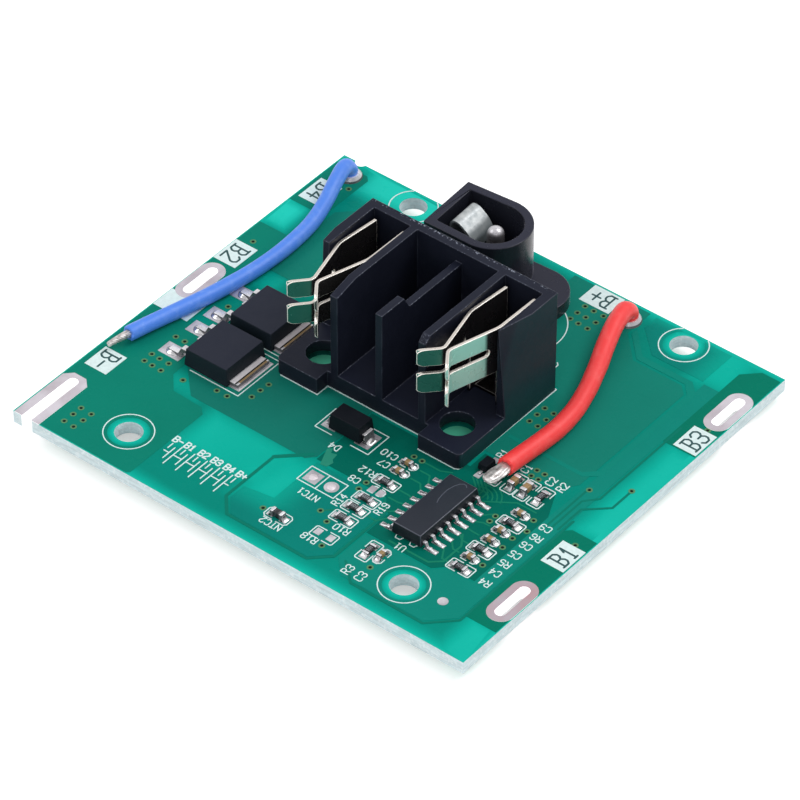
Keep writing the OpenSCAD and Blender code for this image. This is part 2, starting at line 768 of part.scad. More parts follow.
module diode_place() {
    on_board() translate([diode_at[0], diode_at[1], land_t]) rotate([0, 0, 90]) children();
}

diode_lead_t = 0.14;

module diode_body() {
    color("#242632") diode_place() translate([0, 0, diode_lead_t])
        moulded([diode_l, diode_w, diode_h - diode_lead_t], 0.08);
}

module diode_leads() {
    color("#cdc8cd") diode_place() for (side = [0, 180]) rotate([0, 0, side])
        translate([diode_l / 2 - 0.3, -0.15, 0]) cube([0.85, 0.3, diode_lead_t]);
}

// ---- Chip resistors and capacitors

// A ceramic block with a slightly thicker metal end on each side
module chip_part(part, length, width, height) {
    cap = length * cap_share;
    on_board() translate([part[1], part[2], land_t]) rotate([0, 0, part[3]]) {
        translate([-length / 2 + cap_t, -width / 2 + cap_t, cap_t])
            cube([length - 2 * cap_t, width - 2 * cap_t, height - 2 * cap_t]);
        for (x = [-length / 2, length / 2 - cap]) translate([x, -width / 2, 0])
            cube([cap, width, height]);
    }
}

module thermistor_2() color("#33303c") chip_part(thermistor, big_l, big_w, big_w);

// ---- Leads

function curve(p, i, s) =
    let (n = len(p) - 1, a = p[max(i - 1, 0)], b = p[i], c = p[i + 1], d = p[min(i + 2, n)])
    0.5 * (2 * b + (c - a) * s + (2 * a - 5 * b + 4 * c - d) * s * s + (3 * b - a - 3 * c + d) * s * s * s);
function smooth(p, n) = concat([for (i = [0:len(p) - 2]) for (k = [0:n - 1]) curve(p, i, k / n)],
    [p[len(p) - 1]]);
function travel(p, i) = unit(p[min(i + 1, len(p) - 1)] - p[max(i - 1, 0)]);
// A ring of points square to the route at point i
function ring(p, i, d) =
    let (t = travel(p, i), u = unit(cross(t, [1, 0, 0])), v = cross(t, u))
    [for (k = [0:tube_sides - 1]) p[i] + (u * cos(360 * k / tube_sides) + v * sin(360 * k / tube_sides)) * d / 2];

module tube(route, d) {
    p = smooth(route, route_steps);
    n = len(p);
    m = tube_sides;
    polyhedron(
        points = [for (i = [0:n - 1]) each ring(p, i, d)],
        faces = concat(
            [[for (k = [m - 1:-1:0]) k]],
            [for (i = [0:n - 2]) for (k = [0:m - 1])
                [i * m + k, i * m + (k + 1) % m, (i + 1) * m + (k + 1) % m, (i + 1) * m + k]],
            [[for (k = [0:m - 1]) (n - 1) * m + k]]));
}

// Puts children at the far end of a route, with Z along its last stretch
module at_end(route) {
    p = smooth(route, route_steps);
    n = len(p);
    t = travel(p, n - 1);
    translate(p[n - 1]) rotate([0, acos(t[2]), atan2(t[1], t[0])]) children();
}

module blue_lead() color("#6c8ff0") on_board() tube(blue_route, blue_d);
module red_lead() color("#f03c3c") on_board() tube(red_route, red_d);

module blue_lead_end() {
    color("#c9c4c6") on_board() at_end(blue_route) {
        cylinder(d = bare_d, h = bare_l - bare_d / 2);
        translate([0, 0, bare_l - bare_d / 2]) cylinder(d1 = bare_d, d2 = bare_d / 2, h = bare_d / 2);
    }
}

module red_lead_end() {
    color("#d9d4d4") on_board() at_end(red_route)
        linear_extrude(flat_l) stadium(flat_t, flat_w);
}

// Solder that holds a lead: a dome on the board, the filled hole and the joint below
module lead_joint(at, d) {
    color("#dcd7da") on_board() translate([at[0], at[1], 0]) {
        rotate_extrude() polygon([[0, 0], [d / 2 + dome_out, 0], [d / 2 + dome_out * 0.7, dome_h * 0.45],
            [d / 2 - 0.05, dome_h], [0, dome_h]]);
        translate([0, 0, -board_t - eps]) cylinder(d = lead_hole_d - 2 * fill_gap, h = board_t + 2 * eps);
        translate([0, 0, -board_t - joint_h])
            cylinder(d1 = lead_hole_d * 0.6, d2 = lead_hole_d + 0.8, h = joint_h);
    }
}

module blue_lead_joint() lead_joint(blue_pad, blue_d);
module red_lead_joint() lead_joint(red_pad, red_d);

// Solder joints of the contacts, the jack and the unused header, under the board
module underside_joints() {
    color("#d2cdd2") on_board() difference() {
        translate([0, 0, -board_t - joint_h]) {
            for (at = leg_points()) translate([at[0], at[1], 0])
                cylinder(d1 = 1.3, d2 = leg_hole_d + 0.8, h = joint_h);
            for (at = jack_tails) translate([at[0], at[1], 0])
                cylinder(d1 = 1.5, d2 = tail_d + 1.2, h = joint_h);
            for (at = header_points) translate([at[0], at[1], 0]) {
                cylinder(d1 = 0.9, d2 = header_hole_d + 0.7, h = joint_h);
                cylinder(d = header_hole_d - 2 * fill_gap, h = joint_h + board_t + land_t);
            }
        }
        tails();
    }
}

// What comes through the board into the joints
module tails() {
    low = -board_t - leg_out;
    for (side = [-1, 1]) translate([block_x + side * chamber_x, block_y, low - eps]) intersection() {
        linear_extrude(leg_out + 2 * eps) for (arm = arms(side)) polygon(strip(arm, sheet_t));
        for (y = leg_y) translate([-half_w, y - leg_w / 2, 0]) cube([block_w, leg_w, 2]);
    }
    translate([jack_x, jack_y, low]) rotate([0, 0, jack_turn]) {
        cylinder(d = tail_d, h = leg_out + eps);
        translate([spring_low - spring_t / 2, -leg_w / 2, 0]) cube([spring_t, leg_w, leg_out + eps]);
    }
}

circuit_board();
solder_lands();
tab_land_1();
tab_land_2();
tab_land_3();
tab_land_minus();
terminal_block();
contact_left();
contact_right();
jack_housing();
jack_pin();
jack_spring();
transistor_front_body();
transistor_front_leads();
transistor_rear_body();
transistor_rear_leads();
control_chip_body();
control_chip_leads();
rectifier_body();
rectifier_leads();
diode_body();
diode_leads();
thermistor_2();
blue_lead();
blue_lead_end();
red_lead();
red_lead_end();
blue_lead_joint();
red_lead_joint();
underside_joints();
for (part = resistors) color("#23222b") chip_part(part, big_l, big_w, resistor_h);
for (part = large_capacitors) color("#a08060") chip_part(part, big_l, big_w, big_w);
for (part = small_capacitors) color("#a08060") chip_part(part, small_l, small_w, small_w);
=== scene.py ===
"""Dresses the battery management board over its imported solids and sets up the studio.

Lengths are board millimetres unless a docstring says metres: X and Y from the front left corner
of the board, Z up from its top face. placed() turns them into the part's frame in metres.
"""
import logging
import math
from dataclasses import dataclass, field
from enum import Enum
from typing import ClassVar, Sequence

import bmesh
import bpy
import numpy as np
from mathutils import Matrix, Vector
from mathutils.geometry import delaunay_2d_cdt


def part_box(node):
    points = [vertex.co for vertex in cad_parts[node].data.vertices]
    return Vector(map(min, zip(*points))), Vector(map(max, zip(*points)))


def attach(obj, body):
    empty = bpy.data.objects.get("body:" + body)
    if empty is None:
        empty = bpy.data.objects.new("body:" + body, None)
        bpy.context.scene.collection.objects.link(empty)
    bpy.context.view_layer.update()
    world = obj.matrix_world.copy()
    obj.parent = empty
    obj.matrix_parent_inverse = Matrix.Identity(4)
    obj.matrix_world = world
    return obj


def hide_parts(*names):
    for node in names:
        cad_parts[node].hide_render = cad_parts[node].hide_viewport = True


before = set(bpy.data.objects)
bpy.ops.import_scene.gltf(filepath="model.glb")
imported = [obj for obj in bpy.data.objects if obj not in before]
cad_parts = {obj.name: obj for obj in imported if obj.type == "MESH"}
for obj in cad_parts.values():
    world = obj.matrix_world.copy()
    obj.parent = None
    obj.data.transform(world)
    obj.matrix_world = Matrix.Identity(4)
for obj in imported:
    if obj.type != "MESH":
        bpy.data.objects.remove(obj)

LOG = logging.getLogger("board")
MM = 0.001
BODY = "root"
MERGE_DISTANCE = 2e-6
FLAT_ANGLE = math.radians(0.6)
SHARP_ANGLE = math.radians(32)
BOARD_LOW, BOARD_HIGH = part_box("circuit_board")
CORNER = np.array([BOARD_LOW.x, BOARD_LOW.y, BOARD_HIGH.z])
BOARD_W = (BOARD_HIGH.x - BOARD_LOW.x) / MM
BOARD_D = (BOARD_HIGH.y - BOARD_LOW.y) / MM
BOARD_T = (BOARD_HIGH.z - BOARD_LOW.z) / MM
FLOOR_THICKNESS = 0.0024
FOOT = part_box("terminal_block")[0].z + FLOOR_THICKNESS
Point = tuple[float, float]
Colour = tuple[float, float, float]
Outline = np.ndarray
Socket = bpy.types.NodeSocket


def placed(points: np.ndarray) -> np.ndarray:
    """Turns board millimetres into metres in the part's frame: the corner plus a thousandth of each."""
    return CORNER + np.asarray(points, float) * MM


def board_box(node: str) -> tuple[np.ndarray, np.ndarray]:
    """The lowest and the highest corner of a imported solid, in board millimetres."""
    low, high = ((np.array(corner) - CORNER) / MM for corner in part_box(node))
    return low, high


def linear(code: str) -> Colour:
    """Turns a hex colour into the linear red, green and blue that a shader takes.

    Args:
        code: Six hex digits, such as "10826e".

    Returns:
        Each channel c as ((c + 0.055) / 1.055) ** 2.4, or c / 12.92 where it is dark.
    """
    channels = np.array([int(code[i:i + 2], 16) / 255 for i in (0, 2, 4)])
    bright = ((channels + 0.055) / 1.055) ** 2.4
    return tuple(np.where(channels <= 0.04045, channels / 12.92, bright).tolist())


def scaled(colour: Colour, share: float) -> Colour:
    """Multiplies each channel of a colour by a share."""
    return tuple(channel * share for channel in colour)


# ---------------------------------------------------------------- finishes


class Nodes:
    """Adds nodes to a tree and joins them."""

    def __init__(self, tree: bpy.types.NodeTree) -> None:
        """Takes the tree it works on."""
        self.tree = tree

    def node(self, kind: str, **settings: object) -> bpy.types.Node:
        """Adds a node and sets its properties."""
        node = self.tree.nodes.new(kind)
        for key, value in settings.items():
            setattr(node, key, value)
        return node

    def link(self, source: Socket, target: Socket) -> None:
        """Joins an output to an input."""
        self.tree.links.new(source, target)

    def value(self, socket: Socket, item: object) -> None:
        """Puts a number, a colour or another node's output into an input."""
        if isinstance(item, Socket):
            self.link(item, socket)
        else:
            socket.default_value = (*item, 1.0) if isinstance(item, tuple) and len(item) == 3 else item

    def span(self, source: Socket, low: float, high: float, to_low: float = 0.0,
             to_high: float = 1.0) -> Socket:
        """Maps a range of an input onto another range and clamps it."""
        node = self.node("ShaderNodeMapRange")
        self.link(source, node.inputs[0])
        for socket, number in zip(node.inputs[1:5], (low, high, to_low, to_high)):
            socket.default_value = number
        return node.outputs[0]

    def along(self, vector: Socket, axis: int, *limits: float) -> Socket:
        """Maps one coordinate of a vector, with limits as for span."""
        parts = self.node("ShaderNodeSeparateXYZ")
        self.link(vector, parts.inputs[0])
        return self.span(parts.outputs[axis], *limits)

    def maths(self, operation: str, first: object, second: object = 0.0) -> Socket:
        """Applies one operation to two numbers."""
        node = self.node("ShaderNodeMath", operation=operation)
        self.value(node.inputs[0], first)
        self.value(node.inputs[1], second)
        return node.outputs[0]

    def times(self, first: object, *others: object) -> Socket:
        """Multiplies numbers."""
        for other in others:
            first = self.maths("MULTIPLY", first, other)
        return first


class Graph(Nodes):
    """Builds one material's nodes."""

    def __init__(self, name: str) -> None:
        """Starts an empty node tree with its output and its shader."""
        self.material = bpy.data.materials.new(name)
        self.material.use_nodes = True
        super().__init__(self.material.node_tree)
        self.tree.nodes.clear()
        self.output = self.node("ShaderNodeOutputMaterial")
        self.shader = self.node("ShaderNodeBsdfPrincipled")
        self.link(self.shader.outputs[0], self.output.inputs[0])
        self.coordinates = self.node("ShaderNodeTexCoord").outputs["Object"]

    def noise(self, per_metre: float, detail: float = 3.0, stretch: Sequence[float] = (1, 1, 1),
              roughness: float = 0.55) -> Socket:
        """Returns a noise pattern of the given scale, stretched along the axes."""
        mapping = self.node("ShaderNodeMapping")
        mapping.inputs["Scale"].default_value = tuple(stretch)
        self.link(self.coordinates, mapping.inputs["Vector"])
        noise = self.node("ShaderNodeTexNoise")
        for key, item in (("Scale", per_metre), ("Detail", detail), ("Roughness", roughness),
                          ("Vector", mapping.outputs[0])):
            self.value(noise.inputs[key], item)
        return noise.outputs["Fac"]

    def cells(self, per_metre: float) -> Socket:
        """Returns the distance to the nearest of many scattered points."""
        cells = self.node("ShaderNodeTexVoronoi")
        cells.inputs["Scale"].default_value = per_metre
        self.link(self.coordinates, cells.inputs["Vector"])
        return cells.outputs["Distance"]

    def uneven(self, per_metre: float, limits: Sequence[float]) -> Socket:
        """Returns a number that noise varies between two limits."""
        return self.span(self.noise(per_metre), 0.3, 0.7, *limits)

    def blend(self, share: object, first: object, second: object) -> Socket:
        """Mixes two colours by a share."""
        node = self.node("ShaderNodeMix", data_type="RGBA")
        for key, item in (("Factor", share), ("A", first), ("B", second)):
            self.value(node.inputs[key], item)
        return node.outputs["Result"]

    def facing(self, axis: int, *limits: float) -> Socket:
        """Maps how far a face leans along an axis, by its normal."""
        return self.along(self.node("ShaderNodeNewGeometry").outputs["Normal"], axis, *limits)

    def level(self, *limits: float) -> Socket:
        """Maps how level a face lies, whether it looks up or down."""
        return self.span(self.maths("ABSOLUTE", self.facing(2, -1.0, 1.0, -1.0, 1.0)), *limits)

    def place(self, axis: int, *limits: float) -> Socket:
        """Maps a place along an axis of the object, in metres."""
        return self.along(self.coordinates, axis, *limits)

    def bump(self, height: Socket, depth_mm: float, strength: float = 1.0) -> None:
        """Roughens the surface by a height pattern of the given depth."""
        node = self.node("ShaderNodeBump")
        node.inputs["Strength"].default_value = strength
        node.inputs["Distance"].default_value = depth_mm * MM
        self.link(height, node.inputs["Height"])
        self.link(node.outputs[0], self.shader.inputs["Normal"])

    def shade(self, **inputs: object) -> None:
        """Sets the shader's inputs, named with underscores for spaces."""
        for key, item in inputs.items():
            self.value(self.shader.inputs[key.replace("_", " ")], item)


@dataclass(frozen=True)
class Finish:
    """A surface finish.

    Args:
        name: The material's name.
        tone: Its main colour.
    """

    name: str
    tone: str
    made: ClassVar[dict[str, bpy.types.Material]] = {}

    def material(self) -> bpy.types.Material:
        """Returns the finish's material, made once."""
        if self.name not in Finish.made:
            graph = Graph(self.name)
            self.paint(graph)
            Finish.made[self.name] = graph.material
        return Finish.made[self.name]

    def paint(self, graph: Graph) -> None:
        """Fills the node graph; each kind of finish has its own."""
        raise NotImplementedError


@dataclass(frozen=True)
class MaskFinish(Finish):
    """Green solder mask: a thin film that shows copper or bare laminate below it.

    Args:
        lit: The colour where the laminate lets light through.
        pale: The colour where it lets the most through.
        patchy: How much the tone varies.
    """

    lit: str = ""
    pale: str = ""
    patchy: float = 0.3

    def paint(self, graph: Graph) -> None:
        """Mixes two close greens by soft noise, and two paler ones by the points' attribute "light"."""
        tone = linear(self.tone)
        soft = graph.span(graph.noise(140, 2.0), 0.35, 0.68)
        colour = graph.blend(graph.times(soft, self.patchy), tone, scaled(tone, 0.8))
        if self.lit:
            light = graph.node("ShaderNodeAttribute", attribute_name="light").outputs["Fac"]
            light = graph.maths("ADD", light, graph.span(graph.noise(90, 2.0), 0.3, 0.7, -0.07, 0.07))
            colour = graph.blend(graph.span(light, 0.0, 0.5), colour, linear(self.lit))
            colour = graph.blend(graph.span(light, 0.5, 1.0), colour, linear(self.pale))
        speck = graph.span(graph.cells(900), 0.0, 0.05, 1.0, 0.0)
        colour = graph.blend(graph.times(speck, 0.1), colour, (0.3, 0.8, 0.7))
        graph.shade(Base_Color=colour, Specular_IOR_Level=0.03, Roughness=graph.uneven(420, (0.22, 0.34)))
        graph.bump(graph.noise(1500, 2.0), 0.008, 0.5)


@dataclass(frozen=True)
class LaminateFinish(Finish):
    """Cut glass-fibre laminate: pale, with layers and a rough broken face."""

    def paint(self, graph: Graph) -> None:
        """Layers of cloth as stretched noise, with bright broken specks."""
        layers = graph.noise(900, 4.0, (0.35, 0.35, 3.0), 0.7)
        specks = graph.span(graph.noise(2600, 2.0), 0.5, 0.72)
        tone = linear(self.tone)
        colour = graph.blend(graph.span(layers, 0.3, 0.7), scaled(tone, 0.72), tone)
        colour = graph.blend(graph.times(specks, 0.7), colour, linear("f4fdff"))
        graph.shade(Base_Color=colour, Roughness=0.62)
        graph.bump(graph.noise(2200, 5.0, (1, 1, 1.6), 0.75), 0.06, 0.9)


@dataclass(frozen=True)
class InkFinish(Finish):
    """Printed legend ink, slightly uneven."""

    def paint(self, graph: Graph) -> None:
        """Noise varies the cover a little."""
        tone = linear(self.tone)
        share = graph.span(graph.noise(2400, 3.0), 0.4, 0.75)
        graph.shade(Base_Color=graph.blend(graph.times(share, 0.35), tone, scaled(tone, 0.7)), Roughness=0.5)


@dataclass(frozen=True)
class MetalFinish(Finish):
    """Tinned or plated metal.

    Args:
        dark: The colour of its duller patches.
        rough: Its roughness at the smoothest and at the dullest.
        grain: How many blotches there are to a metre.
        dent: Depth of its unevenness in millimetres.
        metallic: How metallic it is.
        steep: The colour of its steep faces, if it is another one: painted shade where it is darker than the
            tone, painted light where it is paler.
    """

    dark: str = "8d878c"
    rough: Point = (0.2, 0.42)
    grain: float = 700
    dent: float = 0.02
    metallic: float = 1.0
    steep: str = ""

    def paint(self, graph: Graph) -> None:
        """Blotches of two tones, with roughness and dents from finer noise, and painted shade and light on
        steep faces from the steep colour.
        """
        blotch = graph.span(graph.noise(self.grain, 4.0), 0.35, 0.7)
        colour = graph.blend(blotch, linear(self.tone), linear(self.dark))
        # Painted shade and light: steep faces take the steep colour.
        if self.steep:
            colour = graph.blend(graph.level(0.3, 0.8), linear(self.steep), colour)
        graph.shade(Base_Color=colour, Metallic=self.metallic,
                    Roughness=graph.uneven(self.grain * 1.7, self.rough))
        graph.bump(graph.noise(self.grain * 1.3), self.dent, 0.7)


@dataclass(frozen=True)
class LandFinish(MetalFinish):
    """Levelled tin on a land, whose cut walls carry painted light: a faint glow of their own stands in for
    light from below.

    Args:
        glow: Strength of that painted light.
    """

    glow: float = 0.35

    def paint(self, graph: Graph) -> None:
        """The metal, with a faint painted light of their own on its steep faces."""
        super().paint(graph)
        graph.shade(Emission_Color=(1.0, 1.0, 1.0), Emission_Strength=graph.level(0.3, 0.8, self.glow, 0.0))


@dataclass(frozen=True)
class SpringFinish(MetalFinish):
    """Plated sheet of a contact, with painted reflection and shade: each face takes the colour of what stands
    round it.

    Args:
        outer: The colour of the outer arm's right faces: a painted reflection of the open board beside them.
        inner: The colour of the other right faces: painted shade from the dark chamber beside them.
        front: The colour of the flared tips: a painted reflection of the board, in shade.
        foot: The colour near the chamber's floor: painted shade.
        middle: Where the outer arm starts along x, in metres.
        neck: Where the tips start along y, in metres.
        low: Height of the foot in metres.
    """

    outer: str = "a6dccf"
    inner: str = "1d1c1e"
    front: str = "27695c"
    foot: str = "15161a"
    middle: float = 0.0
    neck: float = 0.0
    low: float = 0.0

    def paint(self, graph: Graph) -> None:
        """Paints reflection and shade by the way each face looks, with the sheet's own tone on edges and
        upward faces.

        Right faces take the inner colour left of the middle and from 4.5 mm behind the neck on.
        """
        step, shade = 0.0001, 0.0045
        shaded = graph.place(1, self.neck + shade - 2 * step, self.neck + shade + 2 * step)
        beside = graph.blend(shaded, linear(self.outer), linear(self.inner))
        left = graph.place(0, self.middle - step, self.middle + step)
        beside = graph.blend(left, linear(self.inner), beside)
        right = graph.facing(0, 0.3, 0.45)
        colour = graph.blend(right, linear(self.tone), beside)
        ahead = graph.times(graph.place(1, self.neck - step, self.neck + step, 1.0, 0.0),
                            graph.place(0, self.middle - 2 * step, self.middle, 1.0, 0.0),
                            graph.facing(1, -0.6, -0.4, 1.0, 0.0))
        colour = graph.blend(ahead, colour, linear(self.front))
        colour = graph.blend(graph.place(2, self.low, self.low + 0.0006, 1.0, 0.0), colour, linear(self.foot))
        flat = graph.maths("MAXIMUM", right, ahead)
        graph.shade(Base_Color=colour, Metallic=graph.span(flat, 0.0, 1.0, self.metallic, 0.25),
                    Roughness=graph.uneven(self.grain, self.rough))


@dataclass(frozen=True)
class MouldedFinish(Finish):
    """Moulded black plastic or moulding compound.

    Args:
        top: The colour of its upward faces: painted light, as faces that look up are lit more.
        worn: The colour of its rubbed places.
        rough: Its roughness at the smoothest and at the dullest.
        grain: Texture grains to a metre.
        dent: Depth of the texture in millimetres.
        dust: How much of the worn colour shows.
        shine: Its specular level.
        scuff: How rough and pale its sloping faces are: rubbed wear, and in part a painted highlight on the
            edges.
        glow: The colour of a painted reflection of the board on the right wall, near its foot.
        side: Where that wall stands, in metres along x.
        back: Where a torn parting line runs along the back, in metres along y.
        sheen: How much it brightens where it is seen edge on.
    """

    top: str = "20232e"
    worn: str = "4a4d5e"
    rough: Point = (0.38, 0.58)
    grain: float = 2200
    dent: float = 0.02
    dust: float = 0.35
    shine: float = 0.3
    scuff: float = 0.0
    glow: str = ""
    side: float = 0.0
    back: float = 0.0
    sheen: float = 0.0

    def paint(self, graph: Graph) -> None:
        """Fine grain, a paler tone on upward faces as painted light, cloudy sheen and sparse rub marks."""
        cloud = graph.span(graph.noise(260, 4.0), 0.42, 0.72)
        marks = graph.span(graph.noise(1300, 5.0, (1, 1, 0.5), 0.7), 0.6, 0.74)
        share = graph.times(graph.maths("MAXIMUM", marks, graph.times(cloud, 0.35)), self.dust)
        # Painted light: faces that look up blend to the paler top colour.
        upward = graph.facing(2, 0.35, 0.95)
        colour = graph.blend(upward, linear(self.tone), linear(self.top))
        colour = graph.blend(share, colour, linear(self.worn))
        grit = graph.span(graph.noise(3600, 2.0), 0.56, 0.66)
        # Painted reflection: right-facing faces of the right wall take the board's colour, most strongly low
        # down.
        if self.glow:
            near = graph.times(graph.facing(0, 0.6, 0.9), graph.place(2, 0.001, 0.013, 1.0, 0.25),
                               graph.place(0, self.side - 0.0006, self.side - 0.0004))
            colour = graph.blend(near, colour, linear(self.glow))
        # Rubbed wear and painted highlight: sloping faces, the rounded edges among them, take a gritty pale
        # grey.
        if self.scuff:
            slope = graph.times(graph.facing(2, 0.15, 0.4), graph.facing(2, 0.9, 0.98, 1.0, 0.0), grit,
                                self.scuff)
            colour = graph.blend(slope, colour, linear("7d8494"))
        if self.back:
            torn = graph.times(graph.place(1, self.back - 0.0005, self.back - 0.00035), upward, grit)
            colour = graph.blend(torn, colour, linear("8e94a4"))
        graph.shade(Base_Color=colour, Roughness=graph.uneven(500, self.rough), Specular_IOR_Level=self.shine)
        if self.sheen:
            graph.shade(Sheen_Weight=self.sheen, Sheen_Roughness=0.14, Sheen_Tint=(0.86, 0.82, 1.0))
        graph.bump(graph.noise(self.grain), self.dent, 0.8)


@dataclass(frozen=True)
class RubberFinish(Finish):
    """Soft insulation of a lead.

    Args:
        light: The colour where it is stretched or scuffed.
    """

    light: str = "ffffff"

    def paint(self, graph: Graph) -> None:
        """A satin colour with faint scuffs and a little unevenness."""
        scuff = graph.span(graph.noise(900, 4.0), 0.5, 0.8)
        colour = graph.blend(graph.times(scuff, 0.3), linear(self.tone), linear(self.light))
        graph.shade(Base_Color=colour, Roughness=0.42, Specular_IOR_Level=0.45)
        graph.bump(graph.noise(650), 0.05, 0.5)


@dataclass(frozen=True)
class CeramicFinish(Finish):
    """Fired ceramic or glaze of a chip part.

    Args:
        rough: Its roughness.
    """

    rough: float = 0.3

    def paint(self, graph: Graph) -> None:
        """A near even colour with fine mottling."""
        tone = linear(self.tone)
        spots = graph.span(graph.noise(5200, 2.0), 0.4, 0.7)
        pale = tuple(min(1.0, channel * 1.35 + 0.01) for channel in tone)
        graph.shade(Base_Color=graph.blend(spots, tone, pale), Roughness=self.rough)


def spring_finish(side: str, **tones: str) -> SpringFinish:
    """Makes the finish of one contact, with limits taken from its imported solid.

    Args:
        side: Which contact, "left" or "right".
        tones: Colours that differ from the finish's own.

    Returns:
        The finish.
    """
    low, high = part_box(f"contact_{side}")
    half_gap, tip = 0.0003, 0.00235
    return SpringFinish(f"plated_spring_painted_reflection_{side}", "efe6dd", "cfc5b8", (0.22, 0.32), 300, 0.0,
                        middle=low.x / 2 + high.x / 2 + half_gap, neck=low.y + tip, low=FOOT, **tones)


class Look(Enum):
    """Every finish on the board."""

    MASK_BARE = MaskFinish("mask_over_laminate", "068b7b", "0cb29f", "26d3bf", 0.2)
    MASK_COPPER = MaskFinish("mask_over_copper", "0e8370")
    MASK_DRAIN = MaskFinish("mask_over_drain", "167a6c")
    MASK_PLUS = MaskFinish("mask_over_plus", "178474")
    MASK_MID = MaskFinish("mask_over_ground", "0b8377", "0ca18f", "14b8a3")
    MASK_RIGHT = MaskFinish("mask_over_right_ground", "128a7b")
    # Copper under the mask, darkened further by painted shade of the terminal block.
    MASK_SHADE = MaskFinish("mask_over_inner_ground_painted_shade", "046c5d")
    MASK_TAB = MaskFinish("mask_over_tab", "067a64")
    MASK_TRACK = MaskFinish("mask_over_track", "107c6a")
    MASK_FINE = MaskFinish("mask_over_fine_track", "1c8267")
    MASK_GAP = MaskFinish("mask_in_gaps", "128b7b")
    LAMINATE = LaminateFinish("cut_laminate", "e4f7fb")
    # Painted shade: near black inside the vias, and in the gap on each transistor's tab.
    BARREL = MetalFinish("via_painted_shade_barrel", "0c1614", "060b0a", (0.6, 0.8), 900, 0.0, 0.2)
    VIA_RING = MaskFinish("mask_over_via_ring", "5f8f66")
    LEGEND = InkFinish("printed_legend", "e3f6f6")
    LEGEND_DARK = InkFinish("legend_knockout", "134a4c")
    VALUE = InkFinish("resistor_value", "8f9499")
    # Painted light: the board seen through the block's lug holes, much paler than the mask round it.
    MASK_LUG_PAINTED_LIGHT = MaskFinish("mask_painted_light_under_lug_hole", "62dcb6")
    HAZE = MaskFinish("flux_haze", "2f9079")
    SOLDER = MetalFinish("tinned_land", "e2dfe5", "b3aeb6", (0.3, 0.5), 600, 0.01, 0.5)
    LAND = MetalFinish("levelled_tin", "fbf9fd", "dfd3da", (0.3, 0.45), 150, 0.006, 0.12)
    # The dark steep colours of BRIGHT and LEAD are painted shade on their steep faces.
    BRIGHT = MetalFinish("bright_solder", "fbfafb", "c4c0c6", (0.1, 0.26), 900, 0.012, 0.75, "3d4443")
    LEAD = MetalFinish("tinned_lead", "f6f5f8", "c9c6cd", (0.2, 0.34), 500, 0.002, 0.35, "6a686c")
    # Lands with painted light on their cut walls: a white steep colour and a faint glow.
    LAND_GREY = LandFinish("worn_tin_painted_wall_light", "dcd6df", "b9aeb6", (0.3, 0.45), 260, 0.006, 0.12, "ffffff")
    LAND_DULL = LandFinish("oxidised_tin_painted_wall_light", "bcb9c4", "bd979c", (0.3, 0.45), 170, 0.006, 0.15, "fffafc")
    # The contacts' colours are painted reflection and shade; SPRING_EDGE keeps the sheet's pale tone on the
    # edges, with painted shade near the floor.
    SPRING_LEFT = spring_finish("left", outer="2c2b2b")
    SPRING_RIGHT = spring_finish("right")
    SPRING_EDGE = SpringFinish("spring_edge", "fffaf2", "dcd3c8", (0.15, 0.25), 300, 0.0, 0.5, outer="fffaf2",
                               inner="fffaf2", front="fffaf2", low=FOOT)
    # Its grey steep colour is painted shade on the spring's upright faces.
    JACK_SPRING = MetalFinish("jack_spring_metal", "c9cdce", "9fa6a9", (0.3, 0.5), 1400, 0.002, 0.4, "879195")
    STRAND = MetalFinish("tinned_strand", "e6e1e0", "a49e9c", (0.28, 0.42), 1500, 0.01, 0.55)
    # Moulded finishes: each top colour is painted light on the upward faces.
    BLOCK = MouldedFinish("block_plastic", "181b27", "1b1f2e", "2c2f3f", (0.34, 0.5), 1500, 0.02, 0.3, 0.15,
                          # glow paints a reflection of the board on the block's right wall.
                          scuff=0.7, glow="1d4044", side=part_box("terminal_block")[1].x,
                          back=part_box("terminal_block")[1].y)
    # The block's rounded edges: paler worn plastic, whose pale scuffs are partly a painted highlight.
    BLOCK_EDGE = MouldedFinish("block_edge", "1b1f2b", "272b3b", "5d6372", (0.3, 0.45), 3000, 0.03, 0.6, 0.25,
                               scuff=0.6)
    JACK = MouldedFinish("jack_plastic", "23252f", "232537", "3d3f4e", (0.2, 0.3), 1900, 0.004, 0.15,
                         sheen=1.0)
    PACKAGE = MouldedFinish("moulding_compound", "171f27", "242836", "343741", (0.42, 0.6), 3400, 0.01, 0.15,
                            0.15)
    DIODE = MouldedFinish("diode_compound", "10151b", "11151c", "2c3038", (0.4, 0.55), 3400, 0.01, 0.15, 0.1)
    CHIP = MouldedFinish("chip_compound", "13151d", "232833", "3a3d48", (0.3, 0.46), 3000, 0.008, 0.2, 0.3)
    # Painted highlight: a paler tone on the chip's rounded edges and on the arc across its top.
    CHIP_EDGE = MouldedFinish("chip_edge", "3c404d", "4a4e5c", "60636e", (0.25, 0.4), 3000, 0.008, 0.2, 0.5)
    BLUE = RubberFinish("blue_insulation", "528bf2", "9cc2ff")
    RED = RubberFinish("red_insulation", "fb3f40", "ff8580")
    GLAZE = CeramicFinish("resistor_glaze", "1a1a20", 0.32)
    TAN = CeramicFinish("capacitor_ceramic", "957a54", 0.42)

    @property
    def material(self) -> bpy.types.Material:
        """The finish's material."""
        return self.value.material()


# ---------------------------------------------------------------- shapes


def grid_quads(rows: int, columns: int, wrap: bool = False) -> np.ndarray:
    """Joins each point (i, j) of a grid to its neighbours in the next row and column.

    Args:
        rows: Number of rows, i.
        columns: Number of columns, j.
        wrap: Whether the last column joins the first.

    Returns:
        One row of four point numbers for each face.
    """
    i, j = np.meshgrid(np.arange(rows - 1), np.arange(columns if wrap else columns - 1), indexing="ij")
    after = (j + 1) % columns
    return np.stack([i * columns + j, i * columns + after, (i + 1) * columns + after,
                     (i + 1) * columns + j], -1).reshape(-1, 4)


